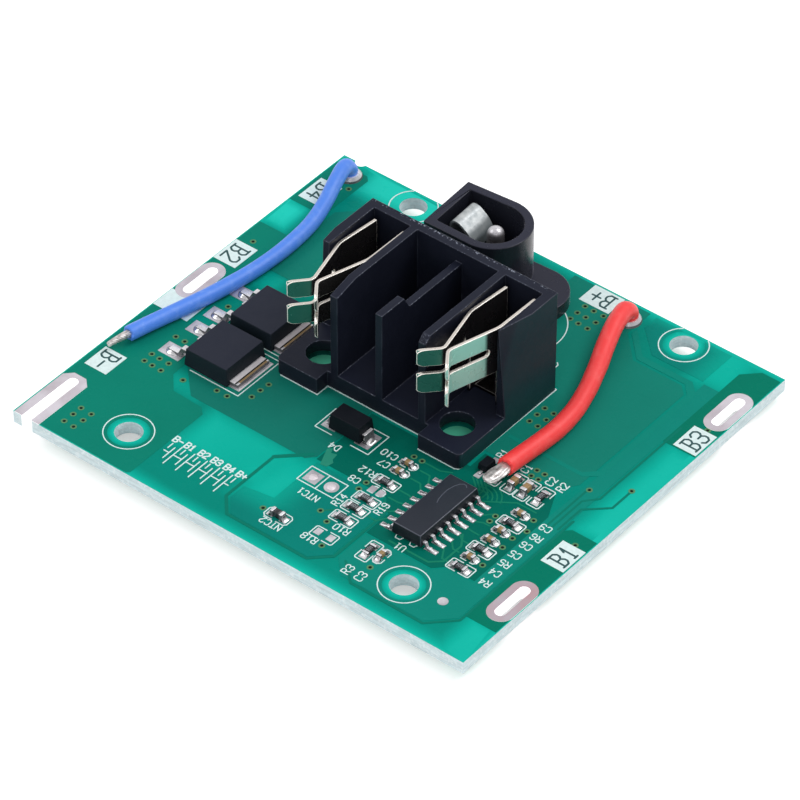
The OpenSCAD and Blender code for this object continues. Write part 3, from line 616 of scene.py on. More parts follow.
@dataclass
class Skin:
    """Collects the surfaces of one piece, in board millimetres, and makes its mesh.

    Args:
        points: The points of each surface.
        faces: The point numbers of each face.
        slots: The finish number of each face.
        smooth: Whether each face shades smoothly.
        count: How many points there are.
    """

    points: list[np.ndarray] = field(default_factory=list)
    faces: list[list[int]] = field(default_factory=list)
    slots: list[int] = field(default_factory=list)
    smooth: list[bool] = field(default_factory=list)
    count: int = 0

    def add(self, points: np.ndarray, faces: np.ndarray, slot: int = 0, smooth: bool = True) -> None:
        """Adds a surface.

        Args:
            points: Its points, one row each.
            faces: Rows of point numbers, all of one length.
            slot: The number of its finish.
            smooth: Whether it shades smoothly.
        """
        self.points.append(np.asarray(points, float).reshape(-1, 3))
        self.faces += (np.asarray(faces) + self.count).tolist()
        self.slots += [slot] * len(faces)
        self.smooth += [smooth] * len(faces)
        self.count += len(self.points[-1])

    def closed_grid(self, points: np.ndarray, slot: int = 0) -> None:
        """Adds a tube given as rings of points, and closes both ends with a fan to the ring's middle."""
        rows, columns = points.shape[:2]
        self.add(points, grid_quads(rows, columns, True), slot)
        ring = np.arange(columns)
        for row, turn in ((0, 1), (-1, -1)):
            cap = np.vstack([points[row], points[row].mean(0)])
            fan = np.stack([np.full(columns, columns), (ring + 1) % columns, ring], 1)
            self.add(cap, fan[:, ::turn], slot)

    def slab(self, outlines: Sequence[Outline], holes: Sequence[Outline], low: float, high: float,
             face: int = 0, wall: int = 0, seeds: np.ndarray | None = None) -> None:
        """Adds a flat plate: the filled area above, the same below, and a wall along its border.

        The border is made of the triangle sides that no other triangle shares, and each becomes an
        upright face from low to high.

        Args:
            outlines: Closed outlines, which may overlap.
            holes: Outlines left out.
            low: Height of its lower face.
            high: Height of its upper face.
            face: Finish number of the two faces.
            wall: Finish number of the border.
            seeds: Further points inside the area.
        """
        flat, triangles = flat_area(outlines, holes, seeds)
        count = len(flat)
        top = np.column_stack([flat, np.full(count, high)])
        bottom = np.column_stack([flat, np.full(count, low)])
        self.add(top, triangles, face, False)
        self.add(bottom, triangles[:, ::-1], face, False)
        sides = np.vstack([triangles[:, [0, 1]], triangles[:, [1, 2]], triangles[:, [2, 0]]])
        border = sides[~np.isin(sides[:, 0] * count + sides[:, 1], sides[:, 1] * count + sides[:, 0])]
        a, b = border[:, 0], border[:, 1]
        self.add(np.vstack([bottom, top]), np.stack([a, b, b + count, a + count], 1), wall, False)

    def piece(self, name: str, looks: Sequence[Look], slot: str) -> bpy.types.Object:
        """Makes the object and mounts it.

        Args:
            name: The piece's name.
            looks: Its finishes, in the order of the finish numbers.
            slot: The record's material slot; not used.

        Returns:
            The new object.
        """
        mesh = bpy.data.meshes.new(name)
        mesh.from_pydata(placed(np.vstack(self.points)).tolist(), [], self.faces)
        mesh.polygons.foreach_set("material_index", np.array(self.slots, np.int32))
        mesh.polygons.foreach_set("use_smooth", np.array(self.smooth, bool))
        mesh.update()
        return mount(bpy.data.objects.new(name, mesh), looks)


def mount(piece: bpy.types.Object, looks: Sequence[Look]) -> bpy.types.Object:
    """Links a piece to the scene with its finishes and its body."""
    bpy.context.scene.collection.objects.link(piece)
    for look in looks:
        piece.data.materials.append(look.material)
    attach(piece, BODY)
    LOG.info("%s: %d faces", piece.name, len(piece.data.polygons))
    return piece


def circle(x: float, y: float, radius: float, sides: int = 32) -> Outline:
    """Points at equal angles round a centre, counter-clockwise."""
    angle = np.linspace(0, 2 * np.pi, sides, endpoint=False)
    return np.stack([x + radius * np.cos(angle), y + radius * np.sin(angle)], 1)


def box(x0: float, y0: float, x1: float, y1: float) -> Outline:
    """The corners of a rectangle, counter-clockwise."""
    return np.array([[x0, y0], [x1, y0], [x1, y1], [x0, y1]], float)


def capsule(start: Point, end: Point, width: float, sides: int = 5) -> Outline:
    """A straight stroke with round ends: two half circles of half the width about its ends.

    Args:
        start: One end of its middle line.
        end: The other end.
        width: Its width.
        sides: Points on each half circle.

    Returns:
        Its outline, counter-clockwise.
    """
    a, b = np.asarray(start, float), np.asarray(end, float)
    along = math.atan2(*(b - a)[::-1])
    turn = np.linspace(-np.pi / 2, np.pi / 2, sides)
    return np.vstack([middle + width / 2 * np.stack([np.cos(along + t), np.sin(along + t)], 1)
                      for middle, t in ((b, turn), (a, turn + np.pi))])


def stroke(points: Sequence[Point], width: float, sides: int = 5) -> list[Outline]:
    """A bent stroke as one capsule for each straight stretch."""
    return [capsule(a, b, width, sides) for a, b in zip(points, points[1:])]


def ring_strokes(x: float, y: float, radius: float, width: float, start: float = 0, end: float = 360,
                 count: int = 48) -> list[Outline]:
    """Short strokes along an arc, from one angle to another in degrees."""
    angle = np.radians(np.linspace(start, end, count + 1))
    points = np.stack([x + radius * np.cos(angle), y + radius * np.sin(angle)], 1)
    return stroke(points, width, 2)


def inside(points: np.ndarray, outline: Outline) -> np.ndarray:
    """Tests which points lie in an outline, by how often a ray to +X crosses its sides.

    Only points in the outline's own rectangle take the test.
    """
    found = ((points >= outline.min(0)) & (points <= outline.max(0))).all(1)
    a, b = outline, np.roll(outline, -1, 0)
    x, y = points[found, :1], points[found, 1:]
    spans = (a[:, 1] > y) != (b[:, 1] > y)
    rise = np.where(a[:, 1] == b[:, 1], 1.0, b[:, 1] - a[:, 1])
    cross = a[:, 0] + (y - a[:, 1]) * (b[:, 0] - a[:, 0]) / rise
    found[found] = (spans & (x < cross)).sum(1) % 2 == 1
    return found


def flat_area(outlines: Sequence[Outline], holes: Sequence[Outline],
              seeds: np.ndarray | None) -> tuple[np.ndarray, np.ndarray]:
    """Fills the union of some outlines, less some holes, with triangles.

    The outlines' sides are kept as edges of a Delaunay triangulation, and a triangle stays where
    its middle lies in an outline and in no hole.

    Args:
        outlines: Closed outlines, which may overlap.
        holes: Closed outlines to leave out.
        seeds: Further points that the triangles pass through, if any.

    Returns:
        The points in X and Y, and the triangles, counter-clockwise.
    """
    loops = [*outlines, *holes]
    starts = np.cumsum([0] + [len(loop) for loop in loops[:-1]])
    edges = [(int(s + k), int(s + (k + 1) % len(loop))) for s, loop in zip(starts, loops)
             for k in range(len(loop))]
    given = np.vstack(loops if seeds is None else [*loops, seeds])
    made = delaunay_2d_cdt([Vector(p) for p in given], edges, [], 0, 1e-5, False)
    points = np.array([tuple(p) for p in made[0]])
    triangles = np.array([tuple(f) for f in made[2]], int)
    middle = points[triangles].mean(1)
    keep = np.zeros(len(triangles), bool)
    for outline in outlines:
        keep |= inside(middle, outline)
    for hole in holes:
        keep &= ~inside(middle, hole)
    triangles = triangles[keep]
    a, b, c = (points[triangles[:, k]] for k in range(3))
    area = (b - a)[:, 0] * (c - a)[:, 1] - (b - a)[:, 1] * (c - a)[:, 0]
    triangles[area < 0] = triangles[area < 0][:, ::-1]
    used, packed = np.unique(triangles[np.abs(area) > 1e-9], return_inverse=True)
    return points[used], packed.reshape(-1, 3)


def spline(points: Sequence[Sequence[float]], steps: int) -> np.ndarray:
    """A smooth line through points: on each stretch the uniform cubic with tangents (next - last) / 2.

    Args:
        points: The points it goes through.
        steps: Points made on each stretch.

    Returns:
        The line's points.
    """
    p = np.asarray(points, float)
    a, b, c, d = np.vstack([p[:1], p[:-2]]), p[:-1], p[1:], np.vstack([p[2:], p[-1:]])
    s = (np.arange(steps) / steps)[None, :, None]
    a, b, c, d = (q[:, None] for q in (a, b, c, d))
    line = 0.5 * (2 * b + (c - a) * s + (2 * a - 5 * b + 4 * c - d) * s ** 2
                  + (3 * b - a - 3 * c + d) * s ** 3)
    return np.vstack([line.reshape(-1, 3), p[-1:]])


def directions(line: np.ndarray) -> np.ndarray:
    """Unit vectors along a line, from each point's neighbours."""
    step = np.gradient(line, axis=0)
    return step / np.linalg.norm(step, axis=1, keepdims=True)


def swept(line: np.ndarray, across: np.ndarray, up: np.ndarray) -> np.ndarray:
    """Carries a section along a line that never runs along X.

    At each point the section's axes are u, square to the line and to X, and v = line direction x u.
    Its points are line + u * across + v * up.

    Args:
        line: Points of the line, (n, 3).
        across: The section's first coordinates, (n, m).
        up: Its second coordinates, (n, m).

    Returns:
        The rings, (n, m, 3).
    """
    along = directions(line)
    u = np.cross(along, (1, 0, 0))
    u /= np.linalg.norm(u, axis=1, keepdims=True)
    v = np.cross(along, u)
    return line[:, None] + u[:, None] * across[..., None] + v[:, None] * up[..., None]


def bevelled(node: str, look: Look, width: float, segments: int = 2,
             edge: Look | None = None) -> bpy.types.Object:
    """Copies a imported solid, merges its loose triangles, rounds its edges and shows it instead.

    Args:
        node: The solid's name.
        look: Its finish.
        width: Width of the rounding in millimetres.
        segments: Faces across the rounding.
        edge: Finish of the rounded edges, if it is another one.

    Returns:
        The new object.
    """
    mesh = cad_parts[node].data.copy()
    mesh.name = f"{node}_formed"
    mesh.materials.clear()
    work = bmesh.new()
    work.from_mesh(mesh)
    bmesh.ops.remove_doubles(work, verts=work.verts, dist=MERGE_DISTANCE)
    bmesh.ops.dissolve_limit(work, angle_limit=FLAT_ANGLE, verts=work.verts, edges=work.edges)
    for face in work.faces:
        face.smooth = True
    work.to_mesh(mesh)
    work.free()
    mesh.update()
    piece = bpy.data.objects.new(f"{node}_formed", mesh)
    mount(piece, [look, edge] if edge else [look])
    bevel = piece.modifiers.new("rounding", "BEVEL")
    bevel.width = width * MM
    bevel.segments = segments
    bevel.limit_method = "ANGLE"
    bevel.angle_limit = SHARP_ANGLE
    bevel.use_clamp_overlap = False
    bevel.miter_outer = "MITER_ARC"
    bevel.material = 1 if edge else -1
    piece.modifiers.new("flat_faces", "WEIGHTED_NORMAL").weight = 60
    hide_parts(node)
    return piece


# ---------------------------------------------------------------- studio


@dataclass
class Studio:
    """Camera, soft lamps and the pale floor.

    Args:
        azimuth: Where the camera stands, in degrees from the front towards the right.
        elevation: How far it looks down, in degrees.
        roll: How far it is turned about its own axis, in degrees.
        distance: How far it stands from its focus, in metres.
        focus: Where it looks on the board's top face.
        lens: Its focal length in millimetres.
        sensor: Width of its sensor in millimetres.
        ambient: Strength of the room's light.
        ceiling: Brightness of the ceiling in a reflection.
        paper: Strength of the floor's own light.
        half: Half the floor's width in metres.
        gap: How far the floor lies below the part, in metres.
        lamps: Name, place, size and power of each lamp.
    """

    azimuth: float = 38.7065
    elevation: float = 41.5
    roll: float = 0.1541
    distance: float = 0.5695521
    focus: Point = (31.458, 27.629)
    lens: float = 236.5
    sensor: float = 36.0
    ambient: float = 0.5
    ceiling: float = 0.75
    paper: float = 0.5
    half: float = 3.0
    gap: float = 0.00002
    lamps: Sequence[tuple[str, tuple[float, float, float], float, float]] = (
        ("key_lamp", (0.25, 0.35, 0.62), 0.45, 2.5), ("fill_lamp", (-0.5, -0.35, 0.5), 0.5, 1.3),
        ("front_lamp", (0.35, -0.6, 0.3), 0.5, 1.2))

    def camera(self) -> None:
        """Stands the camera back from the focus along its azimuth and elevation, and rolls it."""
        a, e, r = (math.radians(v) for v in (self.azimuth, self.elevation, self.roll))
        back = np.array([math.sin(a) * math.cos(e), -math.cos(a) * math.cos(e), math.sin(e)])
        right = np.array([math.cos(a), math.sin(a), 0.0])
        up = np.cross(back, right)
        right, up = math.cos(r) * right + math.sin(r) * up, math.cos(r) * up - math.sin(r) * right
        spot = placed((*self.focus, 0.0)) + back * self.distance
        data = bpy.data.cameras.new("studio_camera")
        data.lens = self.lens
        data.sensor_width = self.sensor
        data.sensor_fit = "HORIZONTAL"
        data.clip_start = 0.01
        data.clip_end = 20
        camera = bpy.data.objects.new("studio_camera", data)
        axes = np.column_stack([right, up, back])
        camera.matrix_world = Matrix([(*row, 0) for row in axes] + [(0, 0, 0, 1)])
        camera.location = spot
        bpy.context.scene.collection.objects.link(camera)
        bpy.context.scene.camera = camera

    @staticmethod
    def lamp(name: str, spot: Sequence[float], size: float, power: float) -> None:
        """Adds one square soft lamp that faces the middle of the part's base."""
        data = bpy.data.lights.new(name, "AREA")
        data.size = size
        data.energy = power
        lamp = bpy.data.objects.new(name, data)
        lamp.location = spot
        lamp.rotation_euler = (-Vector(spot)).to_track_quat("-Z", "Y").to_euler()
        bpy.context.scene.collection.objects.link(lamp)

    def floor(self) -> None:
        """Adds the pale floor, which keeps a soft shadow and reads white to the camera."""
        mesh = bpy.data.meshes.new("studio_floor")
        corners = [(x * self.half, y * self.half, 0) for x, y in ((-1, -1), (1, -1), (1, 1), (-1, 1))]
        mesh.from_pydata(corners, [], [(0, 1, 2, 3)])
        floor = bpy.data.objects.new("studio_floor", mesh)
        floor.location.z = -self.gap
        bpy.context.scene.collection.objects.link(floor)
        graph = Graph("floor_paper")
        path = graph.node("ShaderNodeLightPath").outputs
        seen = graph.maths("MAXIMUM", path["Is Camera Ray"],
                           graph.maths("MAXIMUM", path["Is Glossy Ray"], path["Is Transmission Ray"]))
        graph.shade(Base_Color=(0.8, 0.8, 0.8), Roughness=0.9, Emission_Color=(1.0, 1.0, 1.0),
                    Emission_Strength=graph.times(seen, self.paper))
        mesh.materials.append(graph.material)

    def world(self) -> None:
        """Fills the room with even pale light.

        The camera and clear parts see white. A reflection sees white near the ground and a dimmer
        ceiling, whose brightness falls with the height of the direction it looks in.
        """
        world = bpy.data.worlds.new("studio_world")
        bpy.context.scene.world = world
        world.use_nodes = True
        nodes = Nodes(world.node_tree)
        path = nodes.node("ShaderNodeLightPath").outputs
        clear = nodes.maths("MAXIMUM", path["Is Camera Ray"], path["Is Transmission Ray"])
        plain = nodes.span(clear, 0.0, 1.0, self.ambient, 1.0)
        direction = nodes.node("ShaderNodeTexCoord").outputs["Generated"]
        ceiling = nodes.along(direction, 2, 0.05, 0.5, 1.0, self.ceiling)
        mirrored = nodes.node("ShaderNodeMix")
        for number, source in ((0, path["Is Glossy Ray"]), (2, plain), (3, ceiling)):
            nodes.link(source, mirrored.inputs[number])
        ground = world.node_tree.nodes["Background"]
        nodes.link(mirrored.outputs[0], ground.inputs["Strength"])
        nodes.value(ground.inputs["Color"], (1.0, 1.0, 1.0))

    def build(self) -> None:
        """Sets the whole studio up."""
        bpy.context.scene.view_settings.view_transform = "Standard"
        self.camera()
        self.floor()
        self.world()
        for lamp in self.lamps:
            self.lamp(*lamp)


# ---------------------------------------------------------------- leads


@dataclass
class Lead:
    """One soldered lead: soft insulation along a given route and its bare end.

    Args:
        name: Its colour.
        route: Points of its middle line.
        diameter: Outside diameter of the insulation.
        length: Length of the insulation along the route, in metres; not used.
        look: Finish of the insulation.
        bare: Length of the bare end.
        settle: How far it lies below the route.
        crest: How much lower its rise beside the joint is.
        recess: How deep in the insulation the bare end starts.
        steps: Points made on each stretch of the route.
        sides: Points round the insulation.
    """

    name: str
    route: Sequence[Sequence[float]]
    diameter: float
    length: float
    look: Look
    bare: float
    settle: float = 0.0
    crest: float = 0.0
    recess: float = 0.35
    steps: int = 12
    sides: int = 40

    def line(self) -> np.ndarray:
        """The middle line of the insulation, lowered where it rests on the board.

        The drop grows from the joint and reaches the settling height at a sixth of the way. In its
        first three fifths, what stands more than 1.3 above the board is lowered towards the crest's drop.
        """
        line = spline(self.route, self.steps)
        line[:, 2] -= self.settle * np.clip(np.linspace(0, 6, len(line)), 0, 1)
        first = np.linspace(0, 1, len(line)) < 0.6
        line[:, 2] -= self.crest * np.clip((line[:, 2] - 1.3) / 1.2, 0, 1) * first
        return line

    def insulation(self) -> bpy.types.Object:
        """The insulation: rings of a slightly uneven radius, cut off square with a hollow rim.

        The radius is half the diameter plus small sines of the way along and the angle round.
        """
        line = self.line()
        angle = np.linspace(0, 2 * np.pi, self.sides, endpoint=False)[None]
        way = np.linspace(0, 1, len(line))[:, None]
        ripple = 0.012 * np.sin(23 * way + 2 * angle) + 0.008 * np.sin(61 * way - angle)
        radius = self.diameter / 2 * (1 + ripple)
        radius[-1] *= 0.975
        outer = swept(line, radius * np.cos(angle), radius * np.sin(angle))
        along = directions(line)[-1]
        rag = 0.09 * np.sin(3 * angle[0] + 1) + 0.06 * np.sin(7 * angle[0])
        outer[-1] += along * rag[:, None]
        lip = line[-1] + (outer[-1] - line[-1]) * 0.62
        skin = Skin()
        skin.closed_grid(np.concatenate([outer, lip[None], (lip - along * self.recess)[None]]))
        return skin.piece(f"{self.name}_lead_insulation", [self.look], f"{self.name}_insulation")

    def strands(self) -> bpy.types.Object:
        """The bare end; each kind of lead has its own."""
        raise NotImplementedError

    def build(self) -> None:
        cover = self.insulation()
        end = self.strands()
        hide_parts(f"{self.name}_lead")
        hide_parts(f"{self.name}_lead_end")
        path = placed(self.line())
        made = float(np.linalg.norm(np.diff(path, axis=0), axis=1).sum())
        LOG.info("%s lead measures %.4f m", self.name, made)


@dataclass
class TwistedLead(Lead):
    """A lead that ends in a loose twist of tinned strands.

    Args:
        count: How many strands wind round the middle one.
        strand: Diameter of a strand, and its distance from the middle one where the twist starts.
        turns: How many turns they make.
        droop: How far the tip hangs down.
    """

    count: int = 7
    strand: float = 0.34
    turns: float = 1.3
    droop: float = 0.16

    def strands(self) -> bpy.types.Object:
        """Strands that wind round the middle line and draw together to the tip.

        Each is a tube whose middle lies at angle 2 pi (k / count + turns * way) about the line and
        at a distance that narrows with the way along.
        """
        line = self.line()
        along = directions(line)[-1]
        way = np.linspace(0, 1, 26)
        skin = Skin()
        axis = line[-1] + along * (way[:, None] * self.bare - self.recess)
        axis[:, 2] -= self.droop * way ** 2
        u = np.cross(along, (1, 0, 0))
        u /= np.linalg.norm(u)
        v = np.cross(along, u)
        ring = np.linspace(0, 2 * np.pi, 10, endpoint=False)[None]
        for k in range(self.count + 1):
            turn = 2 * np.pi * (k / self.count + self.turns * way)
            reach = (self.strand if k < self.count else 0.0) * (1 - 0.45 * way)
            middle = axis + u * (np.cos(turn) * reach)[:, None] + v * (np.sin(turn) * reach)[:, None]
            size = self.strand / 2 * (1 - 0.25 * way) * np.where(way > 0.97, 0.5, 1)
            skin.closed_grid(swept(middle, size[:, None] * np.cos(ring), size[:, None] * np.sin(ring)))
        return skin.piece(f"{self.name}_lead_strands", [Look.STRAND], "tinned_metal")


@dataclass
class FlattenedLead(Lead):
    """A lead that ends in strands soaked with solder and pressed flat.

    Args:
        width: Width of the flattened end.
        thick: Its thickness.
    """

    width: float = 1.75
    thick: float = 0.9

    def strands(self) -> bpy.types.Object:
        """A flattened bundle: an ellipse with ridges for the strands, closed to a rounded tip.

        The section at angle a has half axes (thick, width) / 2 times 1 + ridges * sin(9 a + twist).
        """
        line = self.line()
        along = directions(line)[-1]
        way = np.linspace(0, 1, 34)
        axis = line[-1] + along * (way[:, None] * (self.bare + self.recess) - self.recess)
        axis[:, 0] += 0.10 * np.sin(3.2 * way)
        angle = np.linspace(0, 2 * np.pi, 48, endpoint=False)[None]
        tip = np.sqrt(np.clip(1 - ((way - 0.84) / 0.165).clip(0) ** 2, 0.002, 1))[:, None]
        strand = 0.055 * np.sin(9 * angle + 5 * way[:, None])
        ridge = 1 + strand + 0.035 * np.sin(5 * angle - 9 * way[:, None])
        rise = self.thick / 2 * tip * ridge * (1 - 0.1 * way[:, None])
        reach = self.width / 2 * tip * ridge * (0.86 + 0.14 * np.sin(np.pi * way[:, None]))
        skin = Skin()
        skin.closed_grid(swept(axis, rise * np.cos(angle), reach * np.sin(angle)))
        return skin.piece(f"{self.name}_lead_strands", [Look.STRAND], "tinned_metal")


# Shared places on the board: the leads' and the header's holes, the pitch of the control chip's
# leads, and the middle lines of the two leads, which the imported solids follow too.
LEAD_HOLES = ((2.9, 54), (42.7, 53.85))
HEADER_HOLES = ((32.1, 12.1), (34.6, 12.1))
PITCH = 1.27
BLUE_ROUTE = [(2.9, 54, 0.6), (2.9, 54, 0.8), (2.9, 54, 1.3), (3, 53.3, 2.3), (3.4, 51.9, 2.6), (4, 50, 2.4),
              (4.8, 47.6, 2), (5.6, 44.6, 1.6), (6, 41.5, 1.4), (6.1, 38.2, 1.3), (6, 35, 1.3),
              (5.6, 31.6, 1.3), (4.95, 28, 1.3), (4.1, 24.4, 1.3), (3.1, 20.5, 1.35), (2.2, 16.5, 1.45)]
RED_ROUTE = [(42.7, 53.85, 0.6), (42.7, 53.85, 0.8), (42.7, 53.85, 1.4), (42.75, 53.1, 2.5), (43, 51.8, 2.8),
             (43.6, 49.6, 2.6), (44.6, 46.9, 2.1), (45.8, 44, 1.7), (46.9, 41, 1.5), (47.7, 38.2, 1.4),
             (48.2, 35.4, 1.4), (48.3, 32.4, 1.4), (48.15, 29, 1.6), (48, 24.9, 1.9)]


# ---------------------------------------------------------------- board


GLYPHS = {
    "0": "10 30 41 45 36 16 05 01 10", "1": "14 26 20/10 30", "2": "05 16 36 45 44 00 40",
    "3": "05 16 36 45 44 33 13/33 42 41 30 10 01", "4": "30 36 02 42", "5": "46 06 03 33 42 41 30 10 01",
    "6": "45 36 16 05 01 10 30 41 42 33 03", "7": "06 46 45 10",
    "8": "13 04 05 16 36 45 44 33 13 02 01 10 30 41 42 33", "9": "01 10 30 41 45 36 16 05 04 13 43",
    "B": "00 06 36 45 44 33 03/33 42 41 30 00", "C": "41 30 10 01 05 16 36 45", "D": "00 06 26 44 42 20 00",
    "N": "00 06 40 46", "R": "00 06 36 45 44 33 03/23 40", "T": "06 46/26 20", "U": "06 01 10 30 41 46",
    "+": "03 43/21 25", "-": "03 43", "b": "00 30 41 42 33 13/33 44 45 36 06/10 16"}


def lettering(text: str, x: float, y: float, height: float, turn: float, pen: float, pitch: float = 5.6,
              squeeze: float = 0.8) -> list[Outline]:
    """Writes short plain marks with a round pen.

    Each mark is a few straight strokes on a grid four units wide and six high. GLYPHS lists the
    column and row of each bend, with a slash where the pen lifts.

    Args:
        text: The marks.
        x: Middle of the text.
        y: Middle of the text.
        height: Height of a mark.
        turn: Turn of the text in degrees, counter-clockwise.
        pen: Width of the pen.
        pitch: Grid units from one mark to the next.
        squeeze: Width of a grid unit against its height.

    Returns:
        The outlines of the strokes.
    """
    unit = height / 6
    spin = math.radians(turn)
    total = pitch * (len(text) - 1) + 4
    made: list[Outline] = []
    for k, mark in enumerate(text):
        for run in GLYPHS[mark].split("/"):
            grid = np.array([(int(c[0]) + pitch * k - total / 2, int(c[1]) - 3) for c in run.split()], float)
            grid *= (unit * squeeze, unit)
            turned = grid @ np.array([[math.cos(spin), math.sin(spin)], [-math.sin(spin), math.cos(spin)]])
            made += stroke(turned + (x, y), pen, 4)
    return made


@dataclass
class CircuitBoard:
    """The laminate with its holes, copper areas, tracks, vias and printed legend.

    Args:
        width: Its size along X.
        depth: Its size along Y.
        thickness: Its size along Z.
        mount_radius: Radius of the screw holes.
        mounts: Their middles.
        slot_width: Width of the tab slots.
        lug_x: Middles of the block's lug holes along X.
        lug_y: Their middle along Y.
        copper: How far copper lifts the mask.
        ink: Thickness of the legend.
        line: Width of its lines.
        via_radius: Radius of a via's hole.
        ring_radius: Radius of the ring round it.
        patches: Lighter places: two corners, strength from 0 to 1, and softness.
        vias: Middles of the vias.
    """

    width: float = BOARD_W
    depth: float = BOARD_D
    thickness: float = BOARD_T
    mount_radius: float = 1.6
    mounts: Sequence[Point] = ((12, 5.25), (50, 5.25), (12, 54.25), (50, 54.25))
    slot_width: float = 1.5
    lug_x: Point = (21.52, 40.12)
    lug_y: float = 26.7
    copper: float = 0.022
    ink: float = 0.012
    line: float = 0.13
    via_radius: float = 0.2
    ring_radius: float = 0.37
    patches: Sequence[tuple[float, ...]] = (
        (-3, 41.8, 3.2, 46.4, 0.9, 1.2), (4.6, 52.3, 16, 60, 0.95, 1.6),
        (6.3, 32.6, 9.2, 35.3, 0.35, 0.8), (16.8, 7.0, 28.5, 14.0, 0.55, 1.6),
        (9.5, 13.4, 14.5, 16.0, 0.25, 1.2), (26.8, 5.2, 32.2, 14.0, 0.55, 2.2),
        (58.6, 23.0, 70, 40.4, 0.66, 1.8), (58.5, -3, 70, 6.0, 0.62, 1.5),
        (53.6, 50.3, 58.8, 60, 0.55, 2.0))
    vias: Sequence[Point] = (
        (5.47, 4.91), (7.0, 4.84), (5.47, 3.62), (6.97, 3.54), (5.44, 2.19), (6.84, 2.12),
        (5.6, 16.45), (6.76, 16.4), (8.07, 16.4), (5.7, 15.1), (6.87, 15.04), (8.15, 15.0),
        (11.06, 15.3), (15.06, 16.3), (16.5, 16.3), (6.94, 27.8), (5.76, 20.3), (7.04, 20.3),
        (18.8, 20.6), (18.7, 19.3), (18.66, 17.9), (4.3, 52.1), (1.85, 38.15), (60.35, 44.55),
        (60.25, 21.2), (37.6, 52.65), (38.85, 52.6), (40.2, 52.6), (37.6, 51.25), (38.8, 51.2),
        (40.2, 51.2), (37.6, 49.95), (38.8, 49.85), (40.1, 49.8), (44.5, 36.4), (45.8, 36.3),
        (44.5, 35.05), (45.8, 35.0), (44.5, 33.7), (45.7, 33.6), (49.96, 27.96), (51.0, 27.96),
        (50.0, 26.9), (50.95, 26.9), (56.2, 29.0), (59.8, 31.7), (36.0, 8.55), (37.6, 7.65),
        (39.55, 4.45), (45.6, 5.05), (31.0, 5.05), (38.4, 21.4), (39.5, 21.4), (37.0, 15.0),
        (37.0, 13.75), (54.5, 21.5), (55.0, 19.7), (54.45, 17.9), (54.5, 16.15), (54.55, 12.7),
        (50.95, 19.5), (50.95, 18.5))

    def slots(self) -> list[Outline]:
        """Outlines of the tab slots, the last one open at the front edge."""
        closed = [capsule((x, y - 2.0), (x, y + 2.0), self.slot_width, 12)
                  for x, y in ((60.35, 10.35), (1.65, 29.3), (60.35, 48.35))]
        return [*closed, capsule((1.95, -2.0), (1.95, 7.5), self.slot_width, 12)]

    def openings(self) -> list[Outline]:
        """Every hole that goes through the board and shows."""
        rounds = [circle(x, y, self.mount_radius, 48) for x, y in self.mounts]
        pads = [circle(x, y, radius, 20) for radius, spots in ((0.8, LEAD_HOLES), (0.45, HEADER_HOLES))
                for x, y in spots]
        return [*rounds, *self.slots(), *pads, circle(2.35, self.depth + 0.15, 0.75, 32)]

    def barrels(self) -> list[Outline]:
        """The holes of the vias."""
        return [circle(x, y, self.via_radius, 10) for x, y in self.vias]

    def light(self, points: np.ndarray) -> np.ndarray:
        """How much light comes through the laminate at some places, from 0 to 1.

        Each soft patch counts as its strength times smoothstep of (inside distance / softness + 1) / 2,
        where the inside distance is that to its nearest side. The strongest patch holds. Thin
        rims at the board's edges and round the screw holes add theirs.
        """
        x, y = points[:, 0], points[:, 1]
        total = np.zeros(len(points))
        for x0, y0, x1, y1, strength, soft in self.patches:
            inner = np.minimum(np.minimum(x - x0, x1 - x), np.minimum(y - y0, y1 - y))
            t = np.clip((inner / soft + 1) / 2, 0, 1)
            total = np.maximum(total, strength * t * t * (3 - 2 * t))
        edge = np.minimum(np.minimum(x, self.width - x), np.minimum(y, self.depth - y))
        total = np.maximum(total, 0.62 * np.clip(1 - edge / 1.6, 0, 1))
        for a, b in self.mounts:
            reach = np.hypot(x - a, y - b)
            rim = 0.4 * np.clip((2.15 - reach) / 0.5, 0, 1)
            total = np.maximum(total, 0.34 * np.clip(3.0 - reach, 0, 1) + rim)
        return total

    def lit(self, piece: bpy.types.Object, skin: Skin) -> None:
        """Gives a piece's points the attribute "light"."""
        light = piece.data.attributes.new("light", "FLOAT", "POINT")
        light.data.foreach_set("value", self.light(np.vstack(skin.points)))

    def seeds(self) -> np.ndarray:
        """An even grid of points over the board, which lets its light vary."""
        across = np.arange(0.45, self.width - 0.2, 0.75)
        along = np.arange(0.45, self.depth - 0.2, 0.75)
        return np.stack(np.meshgrid(across, along), -1).reshape(-1, 2)

    def laminate(self) -> None:
        """The board itself: a slab with its mask above and below and pale cut walls."""
        skin = Skin()
        skin.slab([box(0, 0, self.width, self.depth)], [*self.openings(), *self.barrels()],
                  -self.thickness, 0, 0, 1, self.seeds())
        piece = skin.piece("board_laminate", [Look.MASK_BARE, Look.LAMINATE], "solder_mask_board")
        self.lit(piece, skin)
        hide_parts("circuit_board")

    def barrel_linings(self) -> None:
        """Lines each via with a tube from the board's lower to its upper face, 0.72 times as wide inside."""
        sides = 10
        angle = np.linspace(0, 2 * np.pi, sides, endpoint=False)
        radii = self.via_radius * np.array([1, 1, 0.72, 0.72])[:, None]
        heights = np.repeat([[-self.thickness], [0.0], [0.0], [-self.thickness]], sides, 1)
        skin = Skin()
        for x, y in self.vias:
            rings = np.stack([x + radii * np.cos(angle), y + radii * np.sin(angle), heights], -1)
            skin.add(rings, grid_quads(4, sides, True))
            skin.add(rings[[3, 0]], grid_quads(2, sides, True))
        # Their near-black finish is painted shade inside the holes.
        skin.piece("via_barrels", [Look.BARREL], "solder_mask_board")

